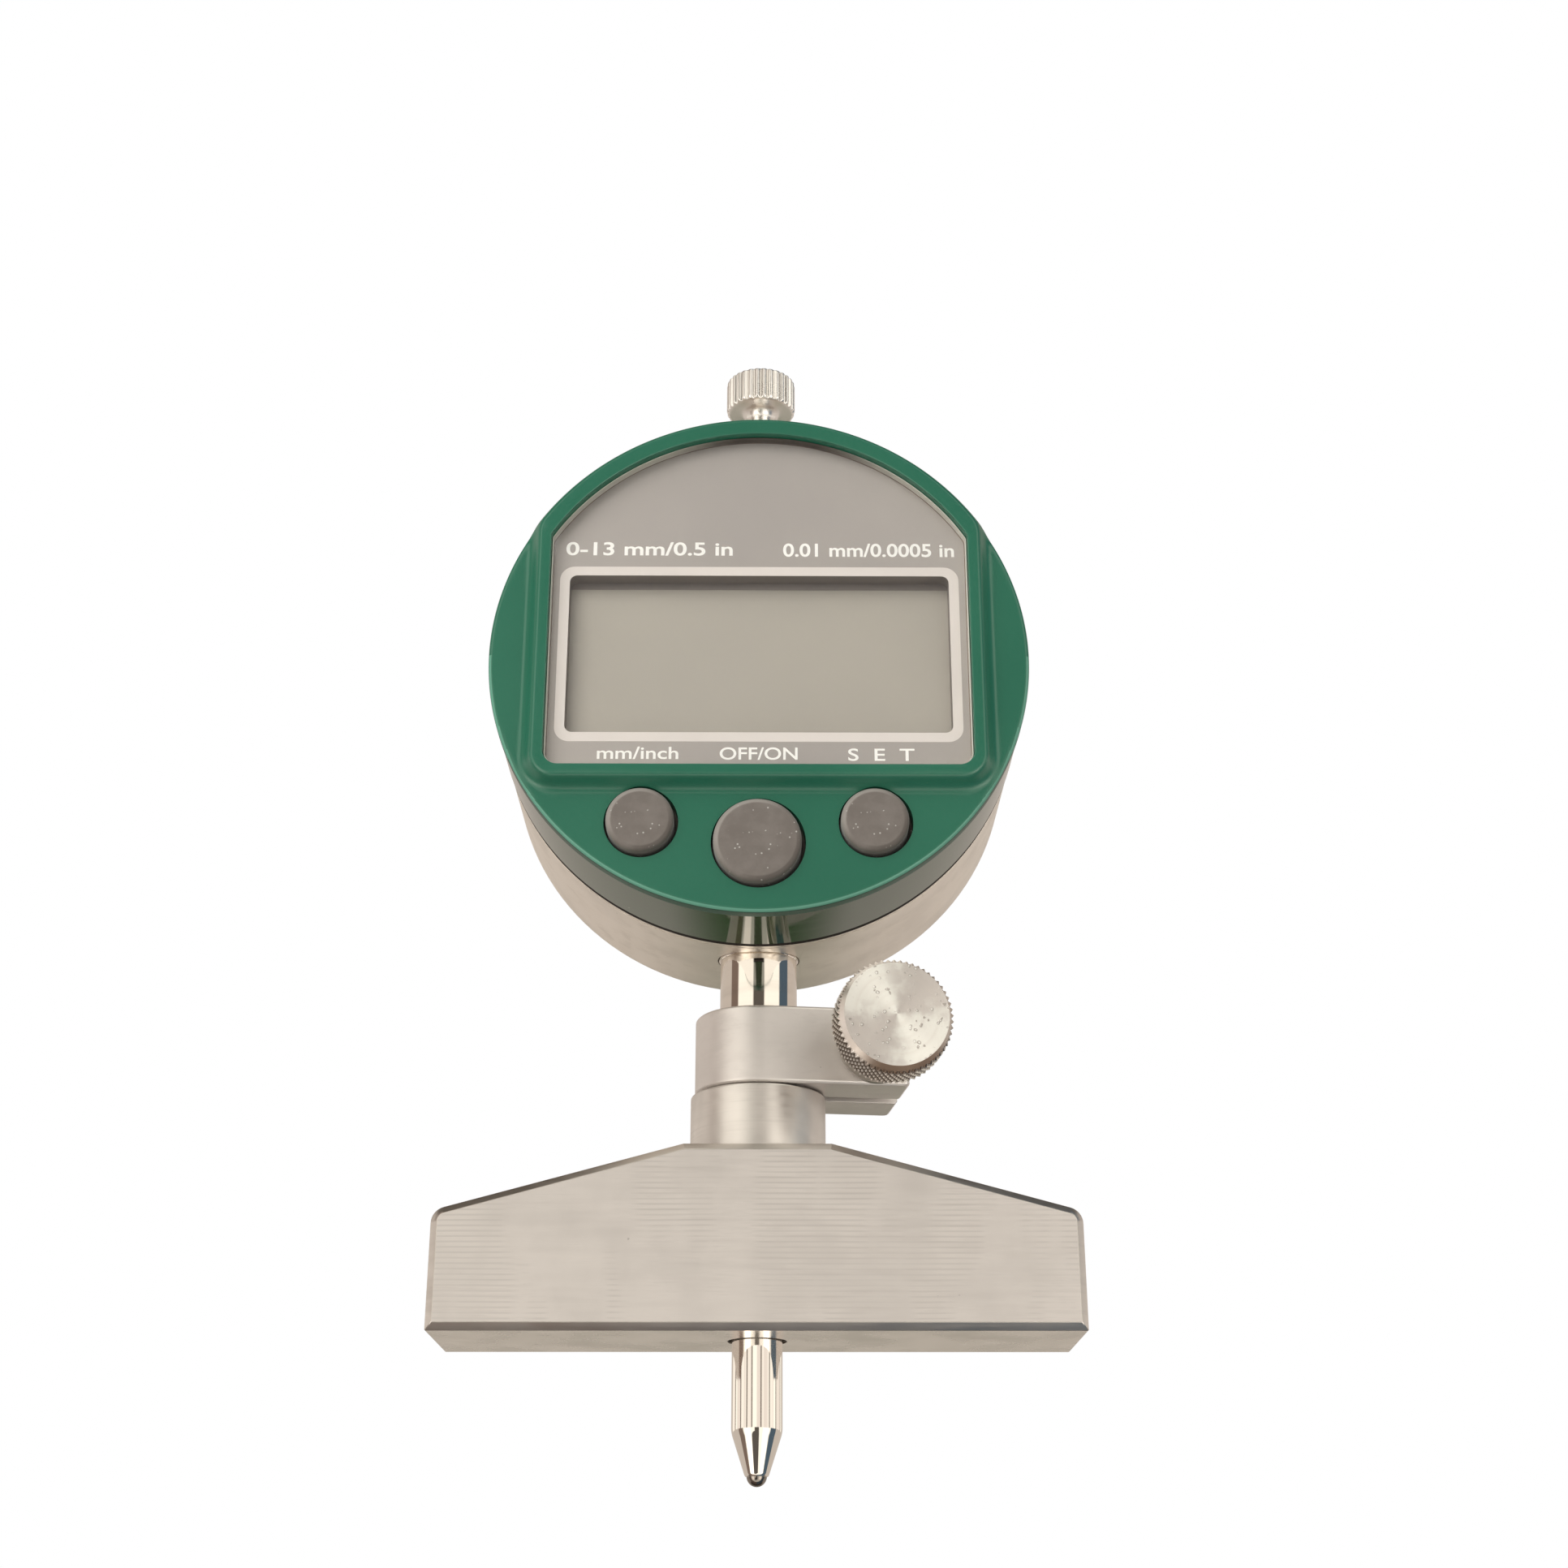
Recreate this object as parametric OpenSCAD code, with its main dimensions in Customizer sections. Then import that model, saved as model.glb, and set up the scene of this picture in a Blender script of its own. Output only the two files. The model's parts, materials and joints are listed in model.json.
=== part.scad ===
// Digital indicator clamped in a depth base.
// The origin is the centre of the base's lower face, on the spindle's axis.
// +Z runs up the spindle, and the display faces -Y.

/* [Depth base] */
// Length of the base bar
base_length = 63.5; // [50:0.5:120]
// Thickness of the base bar, front to back
base_depth = 16; // [15:0.5:30]
// Height of the base bar in the middle
base_height = 18.1; // [15:0.1:30]
// Height of the base bar at its ends
base_end_height = 11.5; // [6:0.1:14]
// Width of the flat on top of the base bar
base_top_width = 14.6; // [14:0.1:30]
// Chamfer round the front and rear faces of the bar
base_chamfer = 0.7; // [0.2:0.1:0.9]
// Radius of the upper corners at the ends of the bar
base_corner_radius = 1.6; // [1:0.1:4]
// Diameter of the hole for the contact rod
rod_hole_diameter = 5.9; // [5.3:0.1:8]

/* [Guide sleeve] */
// Diameter of the boss on the bar
boss_diameter = 13.8; // [12.5:0.1:14.5]
// Height of the boss
boss_height = 6.3; // [3:0.1:15]
// Outer diameter of the slotted sleeve above the boss
sleeve_diameter = 10; // [9.4:0.1:11]
// Diameter of the shank that is pressed into the bar
shank_diameter = 11; // [9.6:0.1:12.4]
// Length of that shank
shank_length = 8.1; // [5:0.1:12]
// Width of the slots that let the sleeve close on the stem
sleeve_slot_width = 0.8; // [0.4:0.1:1.5]

/* [Clamp] */
// Height of the clamp ring
clamp_height = 8; // [6.5:0.1:12]
// Outer diameter of the clamp ring
clamp_diameter = 13; // [12:0.1:16]
// Distance from the spindle's axis to the ends of the ears
ear_reach = 14.7; // [14:0.1:20]
// Width of the slit between the ears
clamp_slit_width = 2; // [1:0.1:3]
// Chamfer along the edges of the clamp
clamp_chamfer = 0.3; // [0.1:0.1:0.8]
// Angle by which the clamp stands turned round the stem
clamp_turn = 7; // [-40:1:40]
// Diameter of the clamp screw
screw_diameter = 4; // [3:0.1:4.5]
// Distance from the spindle's axis to the clamp screw
screw_reach = 11.3; // [10.6:0.1:11.6]
// Diameter of the knurled clamp knob
knob_diameter = 11.6; // [11.2:0.1:16]
// Thickness of the clamp knob
knob_thickness = 5.7; // [4:0.1:9]
// Diameter of the turned face of the knob
knob_face_diameter = 10.3; // [8:0.1:10.4]
// Diameter of the neck behind the knob
neck_diameter = 6.6; // [5.5:0.1:8]
// Length of the neck
neck_length = 5.6; // [1:0.1:10]
// Thickness of the washer under the neck
washer_thickness = 0.6; // [0.4:0.1:1.2]

/* [Stem] */
// Diameter of the stem
stem_diameter = 8; // [7.6:0.1:8.4]
// Bore of the stem
stem_bore = 5.6; // [5.4:0.1:6]
// Length of the stem inside the sleeve
stem_grip = 12.7; // [8:0.1:14]
// Length of the stem that shows between the clamp and the case
stem_show = 6.2; // [4.5:0.1:12]
// Diameter of the collar by which the stem seats in the case
collar_diameter = 8.4; // [8.2:0.1:8.6]
// Height by which the upper bushing stands out of the case
bushing_show = 8.9; // [2:0.1:12]
// Outer diameter of the upper bushing
upper_bushing_diameter = 6; // [5:0.1:7]

/* [Case] */
// Diameter of the case
case_diameter = 55.3; // [54.5:0.1:70]
// Radial step by which the front cover stands out past the ring
cover_lip = 0.1; // [0:0.05:0.4]
// Radial step by which the rear case stays inside the ring
rear_step = 0.1; // [0:0.05:0.4]
// Depth of the cover's rim in front of the polished ring
cover_rim = 1.45; // [1:0.05:4]
// Radius of the cover's front edge
cover_edge_radius = 0.5; // [0.2:0.1:0.9]
// Thickness of the cover's front wall
cover_wall = 2; // [1.6:0.1:2.4]
// Distance of the ring's rear edge in front of the spindle's axis
ring_seam = 7.05; // [6.6:0.05:8]
// Radial distance from the ring's skin to the wall that carries the stem
ring_thickness = 3.2; // [2.8:0.1:4]
// Width of the dark seam behind the polished ring
seam_width = 1.75; // [0.8:0.05:2.3]
// Radial depth of the seam
seam_depth = 1.3; // [0.9:0.1:1.6]
// Distance of the back of the case behind the spindle's axis
rear_reach = 10.6; // [10.4:0.1:18]
// Thickness of the rear cover
rear_cover_thickness = 1.5; // [1.2:0.1:2]

/* [Raised arch and panel] */
// Height of the raised arch over the cover's face
arch_rise = 1.6; // [0.8:0.1:2]
// Half the width of the arch at its front edge
arch_half_width = 22.9; // [22.5:0.1:23.4]
// Radial step from the cover's edge to the arch's front edge
arch_inset = 0.65; // [0.4:0.05:1]
// Distance from the head's centre down to the arch's lower edge
arch_drop = 13.9; // [13.6:0.1:14.1]
// Radius of the arch's lower corners
arch_corner_radius = 2.5; // [1.8:0.1:4]
// Run of the sloping wall round the arch
arch_slope = 1; // [0.3:0.1:1.2]
// Half the width of the display panel
panel_half_width = 21.6; // [21.2:0.05:21.9]
// Radius of the panel's arched top
panel_top_radius = 25.35; // [25:0.05:25.6]
// Distance from the head's centre down to the panel's lower edge
panel_drop = 12.6; // [12.2:0.1:12.8]
// Radius of the panel's lower corners
panel_corner_radius = 1.5; // [0.8:0.1:3]
// Thickness of the panel
panel_thickness = 1; // [0.6:0.1:1.2]
// Depth of the panel's face below the arch's front edge
panel_inset = 0.8; // [0.2:0.1:1]

/* [Display] */
// Width of the visible display
display_width = 39.2; // [37:0.1:39.6]
// Height of the visible display
display_height = 17.7; // [16:0.1:18.2]
// Height of the display's middle over the head's centre
display_shift = -0.1; // [-0.5:0.1:0.5]
// Width of the bezel's wall
bezel_wall = 0.9; // [0.5:0.1:1]
// Radius of the corners of the visible display
display_corner_radius = 0.8; // [0.4:0.1:1.5]
// Depth of the display below the panel's face
display_sink = 3.3; // [3.2:0.1:5]
// Thickness of the display glass
display_thickness = 1.8; // [1.2:0.1:2.4]
// Height of the elastomer strips
strip_height = 1.6; // [1.2:0.1:2.4]

/* [Buttons] */
// Diameter of the two side buttons
side_button_diameter = 6.8; // [6:0.1:7.2]
// Diameter of the middle button
middle_button_diameter = 8.8; // [8:0.1:8.9]
// Gap round each button
button_gap = 0.2; // [0.1:0.05:0.3]
// Sideways distance of the side buttons from the middle
button_spread = 11.7; // [11.5:0.05:12]
// Distance of the side buttons below the head's centre
side_button_drop = 18.35; // [18.25:0.05:18.45]
// Distance of the middle button below the head's centre
middle_button_drop = 20.5; // [20.4:0.05:20.65]
// Height of the buttons over the cover's face
button_rise = 1; // [0.7:0.1:1.6]
// Radius of the rounded edge of a button
button_edge_radius = 0.45; // [0.2:0.05:0.6]
// Travel of a button
button_travel = 0.5; // [0.3:0.05:0.6]

/* [Spindle] */
// Diameter of the spindle in the lower bushing
spindle_diameter = 4.5; // [4:0.1:4.6]
// Diameter of the spindle's upper end
neck_rod_diameter = 2.8; // [2.2:0.1:3.2]
// Travel of the spindle
spindle_travel = 13.8; // [13.8:0.1:15]
// Diameter of the contact rod
contact_diameter = 5; // [4.6:0.1:5.1]
// Distance of the ball tip below the base at rest
tip_reach = 13.7; // [11:0.1:13.7]
// Length of the contact rod's taper
taper_length = 4.1; // [3:0.1:6]
// Diameter of the small end of the taper
taper_end_diameter = 2.3; // [1.9:0.1:3]
// Diameter of the ball tip
ball_diameter = 2; // [1.4:0.1:2.2]
// Diameter of the lifting cap
cap_diameter = 7.9; // [6.5:0.1:10]
// Height of the lifting cap
cap_height = 4; // [3:0.1:6]
// Gap between the lifting cap and the upper bushing at rest
cap_gap = 2.95; // [0.5:0.05:5]
// Number of teeth round the lifting cap
cap_teeth = 30; // [20:1:40]
// Wire diameter of the return spring
spring_wire = 0.45; // [0.3:0.05:0.5]
// Number of turns of the return spring
spring_turns = 14; // [8:1:20]

/* [Back] */
// Diameter of the coin cell
cell_diameter = 16; // [12:0.5:18]
// Thickness of the coin cell
cell_thickness = 3.2; // [2:0.1:3.2]
// Distance of the coin cell below the head's centre
cell_drop = 12.5; // [12:0.1:13]
// Thickness of the mounting lug
lug_thickness = 5; // [4:0.1:7]
// Diameter of the lug's bore
lug_bore = 6.5; // [5:0.1:7]
// Diameter of the lug's round end
lug_end_diameter = 12; // [10.6:0.1:12.6]
// Distance of the lug's bore behind the back of the case
lug_reach = 7.5; // [6.8:0.1:12]
// Height of the lug's bore over the head's centre
lug_shift = 3.5; // [3:0.1:5]

/* [Hidden] */
$fn = 96;

// Fits and small gaps shared by the pieces
run_fit = 0.03;
slide_fit = 0.05;
rest_gap = 0.1;
overrun = 1;
sliver = 0.02;

// Heights along the spindle
boss_top_z = base_height + boss_height;
clamp_gap = 0.2;
clamp_z = boss_top_z + clamp_gap;
clamp_top_z = clamp_z + clamp_height;
sleeve_recess = 0.3;
sleeve_top_z = clamp_top_z - sleeve_recess;
shank_z = base_height - shank_length;
sleeve_root = 1.2;
stem_bottom_z = sleeve_top_z - stem_grip;
case_radius = case_diameter / 2;
case_bottom_z = clamp_top_z + stem_show;
head_z = case_bottom_z + case_radius;
web_radius = case_radius - ring_thickness;
seat_step = 0.1;
collar_recess = 0.35;
collar_seat = 2.2;
collar_z = case_bottom_z + collar_recess;
collar_top_z = case_bottom_z + collar_seat;
nut_z = head_z - web_radius + seat_step;
nut_height = 2;
nut_width = 9.6;
nut_relief = 0.5;
stem_shank_diameter = 7.4;
stem_end_step = 0.2;
stem_top_z = nut_z + nut_height + stem_end_step;
flange_top_z = head_z + web_radius - seat_step;
flange_height = 1.5;
flange_diameter = 8;
bushing_top_z = head_z + case_radius + bushing_show;
cap_z = bushing_top_z + cap_gap;

// The measuring spindle
rod_inset = 1.9;
rod_top_z = stem_bottom_z + rod_inset;
end_room = 0.7;
bushing_bottom_z = rod_top_z + spindle_travel + end_room;
stop_height = 1.5;
stop_diameter = 6.4;
stop_z = stem_top_z + rest_gap;
carrier_rise = 9.8;
carrier_z = stop_z + stop_height + carrier_rise;
carrier_height = 8;
carrier_top_z = carrier_z + carrier_height;
carrier_half_width = 5;
carrier_back_y = 3;
scale_foot = 9;
scale_length = 27;
scale_half_width = 4.5;
thread_diameter = 2.5;
thread_length = 4;
cap_hole_depth = 2.6;
cap_top_edge = 0.35;
tooth_depth = 0.25;
ball_show = 0.95;
taper_z = -tip_reach + ball_show;

// Places in depth, worked forward from the spindle
carrier_wall = 0.75;
carrier_reach = 6;
carrier_bridge_width = 3;
carrier_plate = 1;
scale_thickness = 0.6;
reader_gap = 0.3;
reader_thickness = 0.7;
board_thickness = 1;
carrier_front_y = -spindle_diameter / 2 - carrier_wall;
scale_back_y = carrier_front_y - carrier_reach;
scale_face_y = scale_back_y - scale_thickness;
reader_back_y = scale_face_y - reader_gap;
board_back_y = reader_back_y - reader_thickness;
board_face_y = board_back_y - board_thickness;
display_back_y = board_face_y - strip_height;
display_face_y = display_back_y - display_thickness;
panel_face_y = display_face_y - display_sink;
panel_back_y = panel_face_y + panel_thickness;
arch_face_y = panel_face_y - panel_inset;
cover_face_y = arch_face_y + arch_rise;
cover_back_y = cover_face_y + cover_wall;
ring_front_y = cover_face_y + cover_rim;
ring_back_y = -ring_seam;

// The case
cover_radius = case_radius + cover_lip;
ring_lip = 1.45;
cover_spigot_length = 2;
spigot_end_y = cover_back_y + cover_spigot_length;
spigot_wall = 1;
spigot_radius = case_radius - ring_lip - slide_fit;
ledge_y = spigot_end_y + rest_gap;
seam_radius = case_radius - seam_depth;
rear_radius = case_radius - rear_step;
rear_front_y = ring_back_y + seam_width;
case_spigot_length = 10.9;
case_spigot_y = rear_front_y + case_spigot_length;
seal_height = 0.7;
rear_edge = 0.4;
rear_wall = 1.5;
rear_inner_radius = rear_radius - rear_wall;
rear_cover_y = rear_reach - rear_cover_thickness;
rear_cover_radius = rear_inner_radius - rest_gap;
lobe_radius = 3;
lobe_length = 3.3;
lobe_inset = 2.7;
screw_circle = rear_inner_radius - lobe_inset;
cover_screw_count = 4;
cover_screw_diameter = 2;
cover_screw_head = 4;
cover_screw_length = 4.5;
cover_screw_head_height = 1.2;
driver_slot_width = 0.6;
driver_slot_depth = 0.5;
driver_slot_share = 0.7;
board_room = 0.4;
board_radius = web_radius - board_room;
post_diameter = 3.2;
post_shares = [[0.556, 0.607], [0.687, -0.556]];
post_places = web_radius * post_shares;

// The display
glass_margin = 0.4;
strip_width = 1.8;
strip_end = 1.8;
reader_half_width = 7;
reader_low = -8;
reader_high = 6;

// The buttons
flange_overlap = 0.3;
button_flange_thickness = 0.6;
stalk_diameter = 3;
dome_height = 0.35;
dome_diameter = 4;
dome_top_y = board_face_y - dome_height;
stalk_end_y = dome_top_y - button_travel - slide_fit;
button_face_y = cover_face_y - button_rise;
side_hole_diameter = side_button_diameter + 2 * button_gap;
middle_hole_diameter = middle_button_diameter + 2 * button_gap;

units_place = [-button_spread, -side_button_drop];
power_place = [0, -middle_button_drop];
zero_place = [button_spread, -side_button_drop];

// The guide rod
guide_x = 10;
guide_diameter = 2;
guide_bite = 1.1;
guide_half = sqrt(pow(web_radius, 2) - pow(guide_x, 2)) + guide_bite;
arm_half_depth = 2.2;
arm_reach = 11.2;
arm_height = 4;

// The battery
cell_z = head_z - cell_drop;
holder_wall = 1.55;
holder_floor = 0.8;
contact_height = 0.3;
contact_share = 0.6;
cell_room = 0.15;
cap_plug_height = 1.2;
cap_lip = 0.6;
cap_stand = 0.2;
plug_back_y = rear_cover_y - cap_plug_height;
cell_back_y = plug_back_y - rest_gap;
cell_face_y = cell_back_y - cell_thickness;
holder_inner = cell_diameter / 2 + cell_room;
holder_outer = holder_inner + holder_wall;
battery_cap_radius = holder_inner + cap_lip - slide_fit;
coin_slot_length = 12;
coin_slot_width = 1.6;
coin_slot_depth = 0.8;

// The lug
lug_flange_half_width = 9;
lug_flange_thickness = 1.5;
lug_flange_corner = 3;
lug_z = head_z + lug_shift;
lug_bore_y = rear_reach + lug_reach;

// The clamp
clamp_radius = clamp_diameter / 2;
knob_mid_z = clamp_z + clamp_height / 2;
washer_margin = 0.6;
washer_diameter = neck_diameter + 2 * washer_margin;
neck_back_y = -clamp_radius - washer_thickness;
knob_back_y = neck_back_y - neck_length;
knob_edge = 0.8;
screw_end_room = 1;
screw_head_depth = 2;
knurl_depth = 0.28;
knurl_step = 0.1;
knurl_columns = 116;
knurl_rows = 8;

// The return spring
spring_room = 0.7;
spring_diameter = neck_rod_diameter + 2 * spring_room;
spring_sides = 6;
spring_steps = 10;

// Colours
steel = [0.78, 0.75, 0.71];
dark_steel = [0.55, 0.53, 0.5];
chrome = [0.86, 0.84, 0.8];
green = [0.08, 0.42, 0.28];
grey_rubber = [0.5, 0.48, 0.45];
panel_grey = [0.68, 0.64, 0.6];
bezel_grey = [0.3, 0.27, 0.25];
glass_grey = [0.63, 0.6, 0.54];
board_green = [0.1, 0.35, 0.18];
brass = [0.8, 0.65, 0.35];
black = [0.08, 0.08, 0.08];

// A flat shape seen from the front, as a plate between two depths in the head
module head_plate(front_y, back_y) {
  translate([0, back_y, head_z])
    rotate([90, 0, 0])
      linear_extrude(height = back_y - front_y)
        children();
}

// A profile of radius and depth, turned round the head's middle
module head_turned() {
  translate([0, 0, head_z])
    rotate([90, 0, 0])
      rotate_extrude()
        mirror([0, 1])
          children();
}

// A round bar along the depth, at a place in the front view of the head
module head_rod(place, front_y, back_y, diameter) {
  translate([place[0], back_y, head_z + place[1]])
    rotate([90, 0, 0])
      cylinder(h = back_y - front_y, d = diameter);
}

// A round bar up the spindle's axis
module axis_rod(bottom_z, top_z, diameter) {
  translate([0, 0, bottom_z])
    cylinder(h = top_z - bottom_z, d = diameter);
}

// Everything on the clamp stands turned round the stem
module on_clamp() {
  rotate([0, 0, clamp_turn])
    children();
}

// A round bar along the clamp screw's axis
module screw_rod(front_y, back_y, diameter) {
  translate([screw_reach, back_y, knob_mid_z])
    rotate([90, 0, 0])
      cylinder(h = back_y - front_y, d = diameter);
}

// A rectangle with four round corners, about its middle
module round_rectangle(width, height, corner) {
  square([width - 2 * corner, height], center = true);
  square([width, height - 2 * corner], center = true);
  for (x = [-1, 1], y = [-1, 1])
    translate([x * (width / 2 - corner), y * (height / 2 - corner)])
      circle(r = corner);
}

// An arched outline: straight sides, a round top and rounded lower corners
module arch_outline(half_width, top_radius, drop, corner) {
  intersection() {
    circle(r = top_radius);
    union() {
      translate([-half_width, corner - drop])
        square([2 * half_width, drop + top_radius]);
      translate([corner - half_width, -drop])
        square([2 * (half_width - corner), drop]);
      for (side = [-1, 1])
        translate([side * (half_width - corner), corner - drop])
          circle(r = corner);
    }
  }
}

// The bar's front view, narrower by an inset all round
module bar_outline(inset) {
  half = base_length / 2;
  flat = base_top_width / 2;
  slope = atan((base_height - base_end_height) / (half - flat));
  corner = base_corner_radius;
  radius = corner - inset;
  middle_x = half - corner;
  middle_z = base_end_height + corner * (tan(slope) - 1 / cos(slope));
  right = [
    [middle_x + radius, inset],
    [middle_x + radius, middle_z],
    [middle_x + radius * sin(slope), middle_z + radius * cos(slope)],
    [flat - inset * tan(slope / 2), base_height - inset]
  ];
  left = [for (number = [len(right) - 1 : -1 : 0]) [-right[number][0], right[number][1]]];
  polygon(concat(right, left));
  for (side = [-1, 1])
    translate([side * middle_x, middle_z])
      circle(r = radius, $fn = 32);
}

// The bar's outline as a thin slice at a depth, for the chamfers
module bar_slice(y, inset) {
  translate([0, y, 0])
    rotate([90, 0, 0])
      linear_extrude(height = sliver, center = true)
        bar_outline(inset);
}

module depth_base() {
  half_depth = base_depth / 2;
  color(steel)
    difference() {
      // The bar bulges nowhere inwards, so one hull of four slices makes it with its chamfers
      hull()
        for (side = [-1, 1]) {
          bar_slice(side * (half_depth - base_chamfer), 0);
          bar_slice(side * (half_depth - sliver / 2), base_chamfer);
        }
      axis_rod(-overrun, shank_z + overrun, rod_hole_diameter);
      axis_rod(shank_z, base_height + overrun, shank_diameter);
    }
}

module guide_sleeve() {
  bore = stem_diameter + 2 * run_fit;
  color(steel)
    difference() {
      union() {
        axis_rod(shank_z, base_height, shank_diameter);
        axis_rod(base_height, boss_top_z, boss_diameter);
        axis_rod(boss_top_z, sleeve_top_z, sleeve_diameter);
      }
      axis_rod(shank_z - overrun, sleeve_top_z + overrun, bore);
      for (turn = [0, 90])
        rotate([0, 0, turn + 45])
          translate([-sleeve_diameter, -sleeve_slot_width / 2, boss_top_z + sleeve_root])
            cube([2 * sleeve_diameter, sleeve_slot_width, sleeve_top_z]);
    }
}

module clamp_ring() {
  chamfer = clamp_chamfer;
  radius = clamp_radius;
  color(steel)
    on_clamp()
      difference() {
        union() {
          translate([0, 0, clamp_z])
            rotate_extrude()
              polygon([
                [0, 0], [radius - chamfer, 0], [radius, chamfer],
                [radius, clamp_height - chamfer], [radius - chamfer, clamp_height],
                [0, clamp_height]
              ]);
          translate([0, 0, clamp_z])
            rotate([90, 0, 90])
              linear_extrude(height = ear_reach)
                polygon([
                  [chamfer - radius, 0], [radius - chamfer, 0], [radius, chamfer],
                  [radius, clamp_height - chamfer], [radius - chamfer, clamp_height],
                  [chamfer - radius, clamp_height], [-radius, clamp_height - chamfer],
                  [-radius, chamfer]
                ]);
        }
        axis_rod(clamp_z - overrun, clamp_top_z + overrun, sleeve_diameter + 2 * run_fit);
        translate([0, -clamp_slit_width / 2, clamp_z - overrun])
          cube([ear_reach + overrun, clamp_slit_width, clamp_height + 2 * overrun]);
        screw_rod(-radius - overrun, radius + overrun, screw_diameter + 2 * run_fit);
      }
}

module clamp_washer() {
  color(dark_steel)
    on_clamp()
      difference() {
        screw_rod(neck_back_y, -clamp_radius, washer_diameter);
        screw_rod(neck_back_y - overrun, overrun - clamp_radius, screw_diameter + 2 * run_fit);
      }
}

module clamp_screw() {
  color(dark_steel)
    on_clamp()
      screw_rod(knob_back_y - screw_head_depth, clamp_radius - screw_end_room, screw_diameter);
}

// A closed sleeve whose outside rises and falls in diamonds
module knurl_sleeve(inner, outer, depth, length, columns, rows) {
  rings = [
    for (row = [0 : rows], column = [0 : columns - 1])
      let (
        peak = (row + column) % 2 == 0,
        edge = row == 0 || row == rows,
        radius = peak && !edge ? outer : outer - depth,
        angle = 360 * column / columns
      )
      [radius * cos(angle), radius * sin(angle), length * row / rows]
  ];
  ends = [
    for (level = [0, length], column = [0 : columns - 1])
      let (angle = 360 * column / columns)
      [inner * cos(angle), inner * sin(angle), level]
  ];
  inside = len(rings);
  last = rows * columns;
  sides = [
    for (row = [0 : rows - 1], column = [0 : columns - 1])
      let (
        next = (column + 1) % columns,
        a = row * columns + column,
        b = row * columns + next,
        c = (row + 1) * columns + next,
        d = (row + 1) * columns + column,
        even = (row + column) % 2 == 0
      )
      each even ? [[a, d, b], [b, d, c]] : [[a, c, b], [a, d, c]]
  ];
  caps = [
    for (column = [0 : columns - 1])
      let (
        next = (column + 1) % columns,
        low = inside + column,
        low_next = inside + next,
        high = inside + columns + column,
        high_next = inside + columns + next
      )
      each [
        [low, column, next], [low, next, low_next],
        [last + column, high, high_next], [last + column, high_next, last + next],
        [high, low, low_next], [high, low_next, high_next]
      ]
  ];
  polyhedron(points = concat(rings, ends), faces = concat(sides, caps));
}

module clamp_knob() {
  root = knob_diameter / 2 - knurl_depth;
  core = root - knurl_step;
  shoulder = knob_edge - knurl_step;
  face = knob_face_diameter / 2;
  color(steel)
    on_clamp() {
      difference() {
        translate([screw_reach, knob_back_y, knob_mid_z])
          rotate([90, 0, 0])
            rotate_extrude()
              polygon([
                [0, -neck_length], [neck_diameter / 2, -neck_length], [neck_diameter / 2, 0],
                [face, 0], [core, shoulder], [core, knob_thickness - shoulder],
                [face, knob_thickness], [0, knob_thickness]
              ]);
        screw_rod(knob_back_y - screw_head_depth, neck_back_y + overrun, screw_diameter);
      }
      translate([screw_reach, knob_back_y - knob_edge, knob_mid_z])
        rotate([90, 0, 0])
          knurl_sleeve(core - knurl_depth, knob_diameter / 2, knurl_depth,
            knob_thickness - 2 * knob_edge, knurl_columns, knurl_rows);
    }
}

module front_cover() {
  edge = cover_edge_radius;
  color(green)
    difference() {
      union() {
        // The disc with its rounded front edge, and the spigot inside the ring
        head_turned()
          union() {
            translate([0, cover_face_y])
              square([cover_radius - edge, cover_rim]);
            translate([0, cover_face_y])
              square([spigot_radius, cover_wall]);
            translate([0, cover_face_y + edge])
              square([cover_radius, cover_rim - edge]);
            translate([cover_radius - edge, cover_face_y + edge])
              circle(r = edge);
          }
        head_turned()
          translate([spigot_radius - spigot_wall, cover_face_y + edge])
            square([spigot_wall, spigot_end_y - cover_face_y - edge]);
        // The raised arch with its sloping wall
        hull() {
          head_plate(arch_face_y, arch_face_y + sliver)
            arch_outline(arch_half_width, cover_radius - arch_inset, arch_drop,
              arch_corner_radius);
          head_plate(cover_face_y + edge - sliver, cover_face_y + edge)
            arch_outline(arch_half_width + arch_slope, cover_radius,
              arch_drop + arch_slope, arch_corner_radius + arch_slope);
        }
        for (place = post_places, side = [-1, 1])
          head_rod([side * place[0], place[1]], cover_back_y - rest_gap, board_face_y,
            post_diameter);
      }
      head_plate(arch_face_y - overrun, panel_back_y)
        arch_outline(panel_half_width + slide_fit, panel_top_radius + slide_fit,
          panel_drop + slide_fit, panel_corner_radius);
      head_plate(panel_back_y - overrun, cover_back_y + overrun)
        bezel_outline(slide_fit);
      for (place = [units_place, zero_place])
        button_hole(place, side_hole_diameter);
      button_hole(power_place, middle_hole_diameter);
    }
}

// A button's hole through the cover, with room for its flange behind the wall
module button_hole(place, diameter) {
  head_rod(place, cover_face_y - overrun, cover_back_y + overrun, diameter);
  head_rod(place, cover_back_y, spigot_end_y + overrun,
    diameter + 2 * (flange_overlap + button_gap));
}

// The bezel's outer outline, wider by a clearance
module bezel_outline(clearance) {
  grow = 2 * (bezel_wall + clearance);
  translate([0, display_shift])
    round_rectangle(display_width + grow, display_height + grow, display_corner_radius);
}

module display_panel() {
  color(panel_grey)
    head_plate(panel_face_y, panel_back_y)
      arch_outline(panel_half_width, panel_top_radius, panel_drop, panel_corner_radius);
}

module display_bezel() {
  color(bezel_grey)
    head_plate(panel_back_y, display_face_y)
      difference() {
        bezel_outline(0);
        translate([0, display_shift])
          round_rectangle(display_width, display_height, display_corner_radius);
      }
}

module display_glass() {
  grow = 2 * (bezel_wall + glass_margin);
  color(glass_grey)
    head_plate(display_face_y, display_back_y)
      translate([0, display_shift])
        square([display_width + grow, display_height + grow], center = true);
}

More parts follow.
